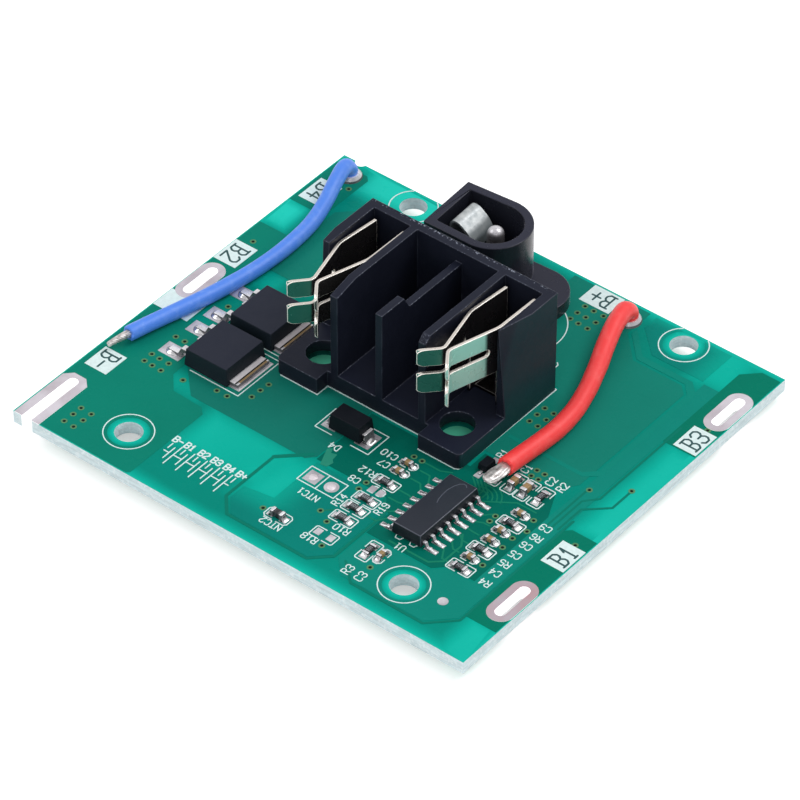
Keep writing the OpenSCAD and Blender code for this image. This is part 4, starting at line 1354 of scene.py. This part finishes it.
    def areas(self) -> list[tuple[Look, list[Outline]]]:
        """Copper areas under the mask, from the broadest to the smallest."""
        front_left = [(0.15, 0.15), (16.0, 0.15), (16.35, 0.5), (16.35, 12.4), (15.5, 13.2), (11.4, 13.35),
                      (9.6, 15.4), (9.5, 17.3), (9.5, 23.6), (0.15, 23.6)]
        drain = [(10.0, 17.3), (13.4, 13.9), (29.4, 13.9), (30.3, 14.9), (30.3, 33), (10.0, 33)]
        # The centre area takes MASK_SHADE: copper, with painted shade of the block.
        centre = [(30.5, 14.6), (40.0, 14.6), (41.9, 12.6), (41.9, 9.0), (50.6, 9.0), (51.9, 10.3),
                  (55.4, 10.3), (55.4, 22.8), (53.6, 26.6), (44, 26.6), (44, 24), (30.5, 24)]
        octagon = [(30.9, 2.2), (39.4, 2.2), (41.3, 4.0), (41.3, 12.2), (39.8, 14.2), (30.9, 14.2),
                   (30.9, 7.0), (27.2, 6.4), (27.2, 4.2), (28.9, 2.2)]
        front_right = [(44.0, 2.2), (54.9, 2.2), (57.6, 4.9), (57.6, 50.4), (55.6, 50.4), (55.6, 28.0),
                       (55.4, 23.0), (55.4, 10.0), (52.1, 10.0), (50.7, 8.7), (42.0, 8.7), (42.0, 4.2)]
        tab_1 = [(58.0, 5.6), (61.85, 5.6), (61.85, 22.9), (58.6, 22.9), (58.0, 22.3)]
        tab_3 = [(57.6, 40.2), (61.85, 40.2), (61.85, 55.9), (59.4, 55.9), (57.6, 54.1)]
        tab_2 = [(0.15, 24.0), (5.2, 24.0), (5.2, 34.3), (4.4, 34.9), (4.4, 40.9), (3.9, 41.4), (0.15, 41.4)]
        tab_4 = [(0.15, 46.6), (4.6, 46.6), (5.1, 47.1), (5.1, 54.6), (4.5, 55.2), (0.15, 55.2)]
        left = [(5.7, 35.6), (17.4, 35.6), (17.4, 49.4), (7.2, 49.4), (5.7, 47.9)]
        plus = [(33.5, 56.2), (33.5, 40), (43.7, 40), (43.7, 27.0), (53.5, 27.0), (54.9, 29.0), (54.9, 47.6),
                (53.8, 48.7), (47.2, 48.7), (44.0, 52.0), (44.0, 56.2)]
        rear = [(44.9, 53.9), (48.3, 50.7), (55.2, 50.7), (55.2, 56.1), (44.9, 56.1)]
        border = [(44.4, 53.2), (47.6, 49.9), (54.4, 49.9), (55.9, 48.4), (55.9, 31.6), (54.3, 30.2),
                  (44.2, 30.2), (44.2, 30.75), (53.9, 30.75), (55.2, 32.1), (55.2, 47.8), (54.0, 49.1),
                  (47.4, 49.1), (44.4, 52.2)]
        haze = [(30.3, 16.6), (30.9, 15.2), (31.3, 14.2), (32.1, 14.3), (32.3, 15.2), (31.9, 15.6),
                (31.8, 16.5), (31.1, 16.3), (30.8, 17.0)]
        # Painted light under the block's lug holes.
        glow = [circle(x, self.lug_y, 1.92) for x in self.lug_x]
        return [(look, [np.array(outline) for outline in outlines]) for look, outlines in (
            (Look.MASK_COPPER, [front_left, tab_2, tab_4]), (Look.MASK_DRAIN, [drain]),
            (Look.MASK_PLUS, [plus, left]), (Look.MASK_SHADE, [centre]), (Look.MASK_MID, [octagon, rear]),
            (Look.MASK_RIGHT, [front_right]), (Look.MASK_TAB, [tab_1, tab_3]), (Look.MASK_LUG_PAINTED_LIGHT, glow),
            (Look.MASK_GAP, [border]), (Look.HAZE, [haze]))]

    def tracks(self) -> list[Outline]:
        """Tracks under the mask."""
        runs = (
            (0.35, [(26.7, 12.0), (26.7, 4.1), (28.6, 1.95), (39.5, 1.95), (41.6, 4.0), (41.6, 12.4),
                    (40.1, 14.3)]),
            (0.5, [(26.7, 12.0), (29.7, 14.9)]),
            (0.3, [(43.0, 4.2), (45.5, 1.95), (55.1, 1.95), (57.85, 4.7), (57.85, 24.0)]),
            (0.26, [(59.8, 31.7), (59.8, 28.3), (57.35, 26.0), (57.35, 22.0)]),
            (0.26, [(57.9, 43.0), (57.9, 28.6), (56.65, 27.1), (56.65, 22.0)]),
            (0.26, [(56.2, 29.0), (56.05, 28.5), (56.05, 22.0)]))
        return [outline for width, run in runs for outline in stroke(run, width)]

    def fine_tracks(self) -> list[Outline]:
        """Fine tracks round the chip, a little paler than the copper area they cross."""
        runs: list[tuple[float, list[Point]]] = []
        rows = ((11.0, 10.85), (12.9, 12.7), (14.7, 14.35), (16.3, 16.1), (18.5, 17.9), (20.1, 19.6))
        first_y = 11.1
        for k, (left_y, right_y) in enumerate(rows, 1):
            lead_y = first_y + PITCH * k
            runs += [(0.2, [(40.3, left_y), (41.6, left_y), (42.4, lead_y)]),
                     (0.2, [(51.4, right_y), (50.6, right_y), (49.7, lead_y)])]
        made = [outline for width, run in runs for outline in stroke(run, width, 3)]
        made += stroke([(50.0, 15.1), (51.0, 13.6), (51.0, 10.6), (49.8, 9.5), (44.6, 9.5)], 0.24)
        for k in range(4):
            x = 45.2 + 0.55 * k
            made += stroke([(x, 22.9), (46.4 + 0.55 * k, 21.9), (46.4 + 0.55 * k, 20.8)], 0.18, 3)
        for k in range(4):
            made += ring_strokes(47.6, 20.7, 1.1 + 0.5 * k, 0.17, 15, 125 - 8 * k, 10)
        for width, run in ((0.2, [(48.4, 20.4), (51.5, 22.6), (54.0, 22.6)]),
                           (0.2, [(39.5, 21.4), (42.0, 21.4), (43.2, 22.0)]),
                           (0.2, [(36.0, 8.55), (37.1, 9.6)]), (0.3, [(31.0, 5.05), (31.4, 5.05)])):
            made += stroke(run, width, 3)
        return made

    def mask(self) -> None:
        """Lays the areas, tracks and via rings on the laminate, each a little above the last."""
        through = [*self.openings(), *self.barrels()]
        cleared = [*through, *(circle(x, y, 2.35, 48) for x, y in self.mounts)]
        low = 0.001
        areas = self.areas()
        skin = Skin()
        for layer, (_, outlines) in enumerate(areas):
            skin.slab(outlines, cleared, low, self.copper * (1 + 0.08 * layer), layer, layer, self.seeds())
        self.lit(skin.piece("copper_areas", [look for look, _ in areas], "solder_mask_board"), skin)
        skin = Skin()
        skin.slab(self.tracks(), through, low, self.copper * 1.7)
        skin.slab(self.fine_tracks(), through, low, self.copper * 1.8, 1, 1)
        skin.piece("copper_tracks", [Look.MASK_TRACK, Look.MASK_FINE], "solder_mask_board")
        skin = Skin()
        rings = [circle(x, y, self.ring_radius, 20) for x, y in self.vias]
        skin.slab(rings, self.barrels(), low, self.copper * 2.0)
        skin.piece("via_rings", [Look.VIA_RING], "solder_mask_board")

    @staticmethod
    def brackets(x0: float, y0: float, x1: float, y1: float, gap: float, upright: bool = False,
                 cut: float = 0.15) -> list[list[Point]]:
        """Two facing brackets round a part.

        Args:
            x0: Left side.
            y0: Front side.
            x1: Right side.
            y1: Back side.
            gap: Gap between the two brackets.
            upright: Whether they face each other along Y.
            cut: Size of the cut corners.

        Returns:
            The points of each bracket.
        """
        if upright:
            turned = CircuitBoard.brackets(y0, x0, y1, x1, gap, False, cut)
            return [[(b, a) for a, b in run] for run in turned]
        middle = (x0 + x1) / 2
        left, right = middle - gap / 2, middle + gap / 2
        return [[(left, y0), (x0 + cut, y0), (x0, y0 + cut), (x0, y1 - cut), (x0 + cut, y1), (left, y1)],
                [(right, y0), (x1 - cut, y0), (x1, y0 + cut), (x1, y1 - cut), (x1 - cut, y1), (right, y1)]]

    def legend_lines(self) -> list[Outline]:
        """The printed lines round parts and holes.

        In order: brackets round the larger chip parts, cut outlines round the smaller ones, single
        brackets, the outlines of the bigger parts, the comb with its ticks, and the rings.
        """
        runs: list[list[Point]] = []
        for x, y in ((53, 10.95), (53, 14.4), (53, 19.5), (38.7, 16.25), (38.7, 12.85), (38.7, 11.05),
                     (38.7, 9.05)):
            runs += self.brackets(x - 1.5, y - 0.78, x + 1.55, y + 0.78, 0.45)
        near, bend, far, side, short = 0.25, 0.6, 0.95, 0.55, 0.2
        for x, y in ((53.0, 12.7), (53.0, 16.15), (53.0, 17.95), (53.0, 21.35), (38.95, 20.05),
                     (38.95, 18.55), (38.8, 14.65)):
            runs += [[(x + near, y - side), (x + bend, y - side), (x + far, y - short), (x + far, y + short),
                      (x + bend, y + side), (x + near, y + side)],
                     [(x - near, y - side), (x - far, y - side)],
                     [(x - near, y + side), (x - bend, y + side), (x - far, y + short)]]
        for x0, x1 in ((48.6, 50.15), (50.3, 51.85), (52.15, 53.75), (46.5, 48.1)):
            runs += self.brackets(x0, 23.1, x1, 26.4, 1.1, True)
        runs += self.brackets(43.2, 5.3, 44.75, 8.5, 0.6, True)
        runs += self.brackets(44.95, 5.9, 46.1, 8.3, 0.5, True, 0.35)
        runs += self.brackets(37.25, 5.0, 40.3, 6.6, 0.5)
        runs += self.brackets(31.55, 4.25, 34.65, 5.85, 0.6, False, 0.3)
        runs += [[(29.3, 18.55), (27.0, 18.55), (27.0, 22.15), (29.3, 22.15)],
                 [(31.95, 18.55), (34.35, 18.55), (34.35, 22.15), (31.95, 22.15)],
                 [(30.85, 10.85), (35.85, 10.85), (35.85, 13.4), (30.85, 13.4), (30.85, 10.85)],
                 [(33.35, 10.85), (33.35, 13.4)],
                 [(10.6, 17.05), (17.4, 17.05), (17.4, 24.25), (10.6, 24.25)],
                 [(10.6, 24.85), (17.4, 24.85), (17.4, 31.9), (10.6, 31.9)],
                 [(18.28, 23.23), (18.84, 22.64), (23.95, 22.64), (23.95, 24.45), (37.95, 24.45),
                  (37.95, 22.6), (42.9, 22.6), (43.3, 22.8), (43.45, 23.2), (43.62, 39.6), (17.85, 39.6),
                  (17.85, 24.5)],
                 [(44.6, 10.75), (44.75, 10.3), (45.35, 10.3), (45.5, 10.75)],
                 [(46.5, 10.75), (46.65, 10.3), (47.2, 10.3), (47.4, 10.75)],
                 [(41.0, 43.2), (41.3, 42.9), (41.3, 42.4)]]
        for k, x in enumerate((16.94, 18.7, 20.47, 22.2, 24.0, 25.76)):
            runs.append([(x, 5.95), (x, 6.8)])
            if k < 5:
                runs += [[(x + 0.62, 4.4), (x + 0.62, 6.4)], [(x + 1.2, 3.75), (x + 1.2, 6.95)]]
        dashes = ((16.85, 17.55), (18.14, 19.3), (19.9, 21.1), (21.7, 22.9), (23.4, 24.6), (25.2, 25.85))
        runs += [[(a, 5.42), (b, 5.42)] for a, b in dashes]
        made = [outline for run in runs for outline in stroke(run, self.line, 4)]
        for x, y in self.mounts:
            start, end = (0, 360) if y < self.depth / 2 else (127, 413)
            made += ring_strokes(x, y, 2.8, self.line, start, end)
        return made + ring_strokes(33.7, 45.9, 5.3, self.line, -8, 60, 14)

    @staticmethod
    def label(text: str, x: float, y: float, height: float = 0.95, turn: float = 180) -> list[Outline]:
        """Writes a part number a twentieth smaller than the given height."""
        return lettering(text, x, y, 0.95 * height, turn, 0.125, 5.6, 0.86)

    def legend_marks(self) -> list[Outline]:
        """The short part numbers, and the row of names over the comb."""
        labels = (
            ("C9", 56.25, 21.3), ("R6", 56.4, 19.5), ("C6", 56.3, 17.85), ("C5", 56.25, 16.05),
            ("R5", 56.25, 14.3), ("C4", 56.3, 12.6), ("R4", 56.4, 10.75), ("C10", 36.15, 20.0, 0.92),
            ("C7", 36.6, 18.5, 0.92), ("R12", 36.05, 16.4), ("C8", 35.7, 14.6, 0.92),
            ("R14", 36.5, 11.1, 0.88, 90), ("R19", 40.9, 12.8, 0.88, 90), ("R10", 39.6, 7.65, 0.92),
            ("R18", 37.8, 4.5, 0.92), ("NTC1", 33.4, 9.65, 0.92), ("NTC2", 33.2, 3.65, 0.92),
            ("D4", 30.75, 17.3), ("U1", 46.1, 9.4, 0.92), ("R3", 44.0, 3.35, 1.0, 90),
            ("C3", 45.7, 3.35, 1.0, 90), ("C1", 48.95, 27.45, 0.92, 90), ("C2", 52.25, 27.5, 0.95, 90),
            ("R2", 53.75, 27.5, 0.98, 90), ("R1", 45.5, 27.75, 0.95, 90))
        made = [outline for label in labels for outline in self.label(*label)]
        names = (("B-", 17.15), ("B1", 18.75), ("B2", 20.7), ("B3", 22.5), ("B4", 24.25), ("B+", 26.0))
        for text, x in names:
            made += lettering(text, x, 7.55, 0.88, 0, 0.17, 5.4, 0.85)
        return made

    def legend(self) -> None:
        """Prints the legend: lines, part numbers, and pale patches with dark marks."""
        base = self.copper * 1.9
        patches = [box(*corners) for corners in (
            (58.8, 17.1, 61.8, 21.0), (58.8, 40.4, 61.8, 44.3), (0.1, 33.3, 3.25, 37.3),
            (0.6, 47.6, 3.7, 51.7), (0.84, 10.7, 3.93, 14.25), (36.3, 53.2, 40.4, 56.3),
            (0.1, 23.0, 5.0, 26.3))]
        skin = Skin()
        through = [*self.openings(), *self.barrels()]
        skin.slab([*self.legend_lines(), *self.legend_marks(), *patches], through, 0.002, base + self.ink)
        skin.piece("printed_legend", [Look.LEGEND], "solder_mask_board")
        marks: list[Outline] = []
        for text, x, y, turn in (("b1", 60.35, 19.05, 90), ("b3", 60.35, 42.3, 90), ("b2", 1.65, 35.3, -90),
                                 ("b4", 2.15, 49.65, -90), ("b-", 2.35, 12.5, -90), ("b+", 38.35, 54.8, 180)):
            marks += lettering(text, x, y, 2.15, turn, 0.24, 5.6, 0.78)
        skin = Skin()
        skin.slab(marks, [], base + self.ink - 0.004, base + 2 * self.ink)
        skin.piece("patch_marks", [Look.LEGEND_DARK], "solder_mask_board")

    def build(self) -> None:
        """Makes the board."""
        self.laminate()
        self.barrel_linings()
        self.mask()
        self.legend()


# ---------------------------------------------------------------- parts on the board


@dataclass
class ChipPart:
    """A ceramic chip part with two tinned ends.

    Args:
        node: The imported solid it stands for.
        body: Finish of the ceramic.
        slot: The record's material slot.
        cap: Share of the length that each tinned end takes.
        value: Marks printed on its upper face.
    """

    node: str
    body: Look
    slot: str
    cap: float = 0.2
    value: str = ""

    def build(self) -> None:
        """A rounded ceramic bar between two rounded ends, each a superellipse section along the part.

        The section at angle a has the point (cos a, sin a), each to the power 0.22 with its sign kept,
        which makes a box with rounded edges. The rings close in at both ends by a quarter circle.
        """
        low, high = board_box(self.node)
        size, middle = high - low, (low + high) / 2
        axis = 0 if size[0] > size[1] else 1
        length, width, height = size[axis], size[1 - axis], size[2]
        bar, overlap, power = 0.93, 0.02, 0.22
        angle = np.linspace(0, 2 * np.pi, 32, endpoint=False) + 0.001
        edge, rise = (np.sign(v) * np.abs(v) ** power for v in (np.cos(angle), np.sin(angle)))
        turn = np.linspace(0, np.pi / 2, 4)
        skin = Skin()
        for start, end, scale, soft, finish in (
                (-length / 2 + length * self.cap, length / 2 - length * self.cap, bar, 0.005, 0),
                (-length / 2, -length / 2 + length * self.cap + overlap, 1.0, 0.06, 1),
                (length / 2 - length * self.cap - overlap, length / 2, 1.0, 0.06, 1)):
            along = np.concatenate([start + soft * (1 - np.cos(turn)), end - soft * (1 - np.cos(turn[::-1]))])
            shrink = scale - 0.1 * (1 - np.sin(np.concatenate([turn, turn[::-1]])))
            rings = np.zeros((len(along), len(angle), 3))
            rings[..., axis] = along[:, None]
            rings[..., 1 - axis] = (shrink[:, None] * edge) * width / 2 * (1 if axis == 1 else -1)
            rings[..., 2] = (shrink[:, None] * rise) * height / 2
            skin.closed_grid(rings + middle, finish)
        piece = skin.piece(f"{self.node}_formed", [self.body, Look.LEAD], self.slot)
        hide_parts(self.node)
        if self.value:
            marks = lettering(self.value, middle[0], middle[1], 0.46 * width, 90 if axis else 180, 0.075)
            top = middle[2] + height / 2 * bar
            skin = Skin()
            skin.slab(marks, [], top - 0.01, top + 0.012)
            skin.piece(f"{self.node}_value", [Look.VALUE], self.slot)


@dataclass
class SolderWork:
    """Solder that has run up the ends of the parts.

    Args:
        big: Nodes of the larger chip parts.
        small: Nodes of the smaller ones.
        land: Height of the lands it lies on.
        run: How far it runs out from a chip part.
        skin: Where it collects.
    """

    big: Sequence[str] = ()
    small: Sequence[str] = ()
    land: float = 0.06
    run: float = 0.48
    skin: Skin = field(default_factory=Skin)

    def fillet(self, x: float, y: float, turn: float, length: float, width: float, height: float,
               power: float = 2.2, waist: float = 0.12) -> None:
        """Adds one hollow-faced ramp that starts at a part's end and runs out along the land.

        At the share u of its length its height is height * (1 - u) ** power + 0.03, less 0.36 of that
        at its sides as the square of the way across. Its half width is width / 2 less the waist times
        u squared. Its sides and its last fifth round off on the land.

        Args:
            x: Middle of the part's end.
            y: Middle of the part's end.
            turn: Direction it runs in, in degrees.
            length: How far it runs.
            width: Its width.
            height: Its height at the part.
            power: How hollow its face is.
            waist: How much narrower each side ends.
        """
        u = np.linspace(-0.12, 1, 12)[:, None]
        v = np.linspace(-1, 1, 11)[None]
        top = height * np.clip(1 - u, 0, 1) ** power + 0.03
        rise = top * (1 - 0.36 * v ** 2) * np.sqrt(np.clip(1.02 - v ** 8, 0, 1))
        rise *= np.sqrt(np.clip(1 - np.clip((u - 0.8) / 0.2, 0, 1) ** 2, 0.02, 1))
        along = np.broadcast_to(u * length, rise.shape)
        across = (width / 2 - waist * u ** 2) * v
        upper = np.stack([along, across, rise + self.land - 0.004], -1)
        lower = upper[:, ::-1].copy()
        lower[..., 2] = self.land - 0.006
        ring = np.concatenate([upper, lower], 1)
        c, d = math.cos(math.radians(turn)), math.sin(math.radians(turn))
        turned = np.stack([x + c * ring[..., 0] - d * ring[..., 1], y + d * ring[..., 0] + c * ring[..., 1],
                           ring[..., 2]], -1)
        self.skin.closed_grid(turned)

    def mound(self, x: float, y: float, long: float, wide: float, height: float) -> None:
        """Adds a rounded mound, height * (1 - r ** 2) ** 1.4, over a slightly uneven oval of two widths."""
        r = np.linspace(0.02, 1, 9)[:, None]
        angle = np.linspace(0, 2 * np.pi, 28, endpoint=False)[None]
        edge = 1 + 0.05 * np.sin(3 * angle + x) + 0.03 * np.sin(5 * angle + y)
        grid = np.stack([x + long / 2 * r * edge * np.cos(angle), y + wide / 2 * r * edge * np.sin(angle),
                         self.land + height * np.broadcast_to((1 - r ** 2) ** 1.4, (9, 28))], -1)
        self.skin.closed_grid(np.concatenate([grid, grid[-1:] - (0, 0, 0.01)])[::-1])

    def ends(self, node: str, width: float) -> None:
        """Adds the two ramps of a chip part."""
        low, high = board_box(node)
        size, middle = high - low, (low + high) / 2
        reach = max(size[0], size[1]) / 2 - 0.02
        for turn in (90, 270) if size[1] > size[0] else (0, 180):
            c, d = math.cos(math.radians(turn)), math.sin(math.radians(turn))
            self.fillet(middle[0] + c * reach, middle[1] + d * reach, turn, self.run, width, size[2] * 0.72)

    def build(self) -> None:
        """Solders every part and makes one piece of it, and fills the header's holes with another."""
        for nodes, width in ((self.big, 0.92), (self.small, 0.72)):
            for node in nodes:
                self.ends(node, width)
        low, high = board_box("control_chip_leads")
        for k in range(8):
            y = (low[1] + high[1]) / 2 + (k - 3.5) * PITCH
            for x, turn in ((high[0] - 0.3, 0), (low[0] + 0.3, 180)):
                self.fillet(x, y, turn, 0.98, 0.52, 0.24, 1.3, 0.05)
        gate_x, gate_y, gate_reach, transistor_pitch = 7.2, 20.6, 2.285, 7.6
        for step in (0, transistor_pitch):
            for side in (-1, 1):
                self.mound(gate_x, gate_y + step + side * gate_reach, 2.0, 1.5, 0.5)
        rectifier_x, rectifier_y, rectifier_reach = 30.6, 20.35, 2.28
        for side, turn in ((1, 0), (-1, 180)):
            self.fillet(rectifier_x + side * rectifier_reach, rectifier_y, turn, 0.85, 1.5, 0.85, 1.8, 0.1)
        self.skin.piece("solder_fillets", [Look.BRIGHT], "tinned_metal")
        header = SolderWork()
        for x, y in HEADER_HOLES:
            header.mound(x, y, 1.0, 1.0, 0.12)
        header.skin.piece("header_fill", [Look.LAND], "tinned_metal")


@dataclass
class Parts:
    """The parts on the board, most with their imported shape, rounded edges and real finishes.

    Args:
        resistors: Numbers of the chip resistors.
        capacitors: Numbers of the chip capacitors.
        transistors: Names of the transistors.
    """

    resistors: Sequence[int] = (1, 2, 3, 4, 5, 6, 10, 12, 14, 19)
    capacitors: Sequence[int] = (1, 2, 3, 4, 5, 6, 7, 9, 10)
    transistors: Sequence[str] = ("transistor_front", "transistor_rear")

    def plastics(self) -> None:
        """The moulded bodies."""
        bevelled("terminal_block", Look.BLOCK, 0.09, 2, Look.BLOCK_EDGE)
        bevelled("jack_housing", Look.JACK, 0.12, 3)
        for name in self.transistors:
            bevelled(f"{name}_body", Look.PACKAGE, 0.1, 3)
        # The chip's rounded edges take CHIP_EDGE, a painted highlight.
        bevelled("control_chip_body", Look.CHIP, 0.08, 2, Look.CHIP_EDGE)
        self.painted_highlight_arc()
        bevelled("rectifier_body", Look.DIODE, 0.07, 3)
        bevelled("diode_body", Look.DIODE, 0.05)

    @staticmethod
    def painted_highlight_arc() -> None:
        """A faint painted highlight along a curve on the control chip's upper face."""
        curve = [(46.9, 19.7), (46.65, 19.93), (46.35, 19.93), (46.0, 19.65), (45.7, 19.0), (45.53, 18.1),
                 (45.57, 17.2), (45.7, 16.4), (45.9, 15.9)]
        top = board_box("control_chip_body")[1][2]
        skin = Skin()
        skin.slab(stroke(curve, 0.11), [], top - 0.01, top + 0.008)
        skin.piece("control_chip_swirl", [Look.CHIP_EDGE], "chip_plastic")

    def metals(self) -> None:
        """Contacts, leads, pin and spring."""
        bevelled("contact_left", Look.SPRING_LEFT, 0.07, 2, Look.SPRING_EDGE)
        bevelled("contact_right", Look.SPRING_RIGHT, 0.07, 2, Look.SPRING_EDGE)
        bevelled("jack_spring", Look.JACK_SPRING, 0.05)
        for name, width in (*((name, 0.05) for name in self.transistors), ("control_chip", 0.03),
                            ("rectifier", 0.03), ("diode", 0.02)):
            bevelled(f"{name}_leads", Look.LEAD, width)

    def chips(self) -> None:
        """The chip resistors, capacitors and the thermistor."""
        for number in self.resistors:
            ChipPart(f"resistor_{number}", Look.GLAZE, "resistor_ceramic", 0.16,
                     "101" if number < 7 else "103").build()
        for number in self.capacitors:
            ChipPart(f"capacitor_{number}", Look.TAN, "capacitor_ceramic", 0.25).build()
        ChipPart("thermistor_2", Look.GLAZE, "resistor_ceramic", 0.22).build()
        large = [*(f"resistor_{n}" for n in self.resistors), "capacitor_1", "capacitor_2", "thermistor_2"]
        SolderWork(large, [f"capacitor_{n}" for n in self.capacitors if n > 2]).build()

    @staticmethod
    def plain() -> None:
        """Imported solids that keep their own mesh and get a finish."""
        for node, look in (("solder_lands", Look.SOLDER), ("underside_joints", Look.SOLDER),
                           ("tab_land_1", Look.LAND_DULL), ("tab_land_2", Look.LAND_GREY),
                           ("tab_land_3", Look.LAND_GREY), ("tab_land_minus", Look.LAND_GREY),
                           ("jack_pin", Look.LEAD), ("blue_lead_joint", Look.LEAD),
                           ("red_lead_joint", Look.LEAD)):
            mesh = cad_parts[node].data
            mesh.materials.clear()
            mesh.materials.append(look.material)

    def heat_tabs(self) -> None:
        """The face of each transistor's tab, a dark strip of painted shade and a tan strip beside it, and the
        tin beside the tab.

        Each strip runs between two distances from the tab's edge and between two heights, and ends
        short of the tab's front and back, or beyond them where the number is negative.
        """
        top = 0.56
        skin = Skin()
        for name in self.transistors:
            low, high = board_box(f"{name}_leads")
            for near, far, front, back, bottom, upper, look in (
                    (-1.0, -0.42, 0.08, 0.08, top - 0.02, top + 0.03, 0),
                    (-0.42, -0.24, 0.02, 0.02, top - 0.02, top + 0.012, 1),
                    (-0.24, -0.01, 0.5, 0.3, top - 0.02, top + 0.016, 2),
                    (0.22, 0.38, -0.1, -0.1, 0.05, 0.09, 0)):
                strip = box(high[0] + near, low[1] + front, high[0] + far, high[1] - back)
                skin.slab([strip], [], bottom, upper, look, look)
        # Finish 1, the dark strip, is painted shade in the gap on the tab.
        skin.piece("heat_tab_faces", [Look.LAND, Look.BARREL, Look.TAN], "tinned_metal")

    def build(self) -> None:
        """Makes every part."""
        self.plastics()
        self.heat_tabs()
        self.metals()
        self.chips()
        self.plain()


def main() -> None:
    """Builds the studio, the leads, the board and its parts, in that order."""
    logging.basicConfig(level=logging.INFO, format="%(message)s")
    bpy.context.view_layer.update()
    Studio().build()
    TwistedLead("blue", BLUE_ROUTE, 1.82, 0.0405, Look.BLUE, 3.1, 0.35).build()
    FlattenedLead("red", RED_ROUTE, 2.15, 0.031, Look.RED, 3.3, 0.3, 0.5).build()
    CircuitBoard().build()
    Parts().build()


if __name__ == "__main__":
    main()
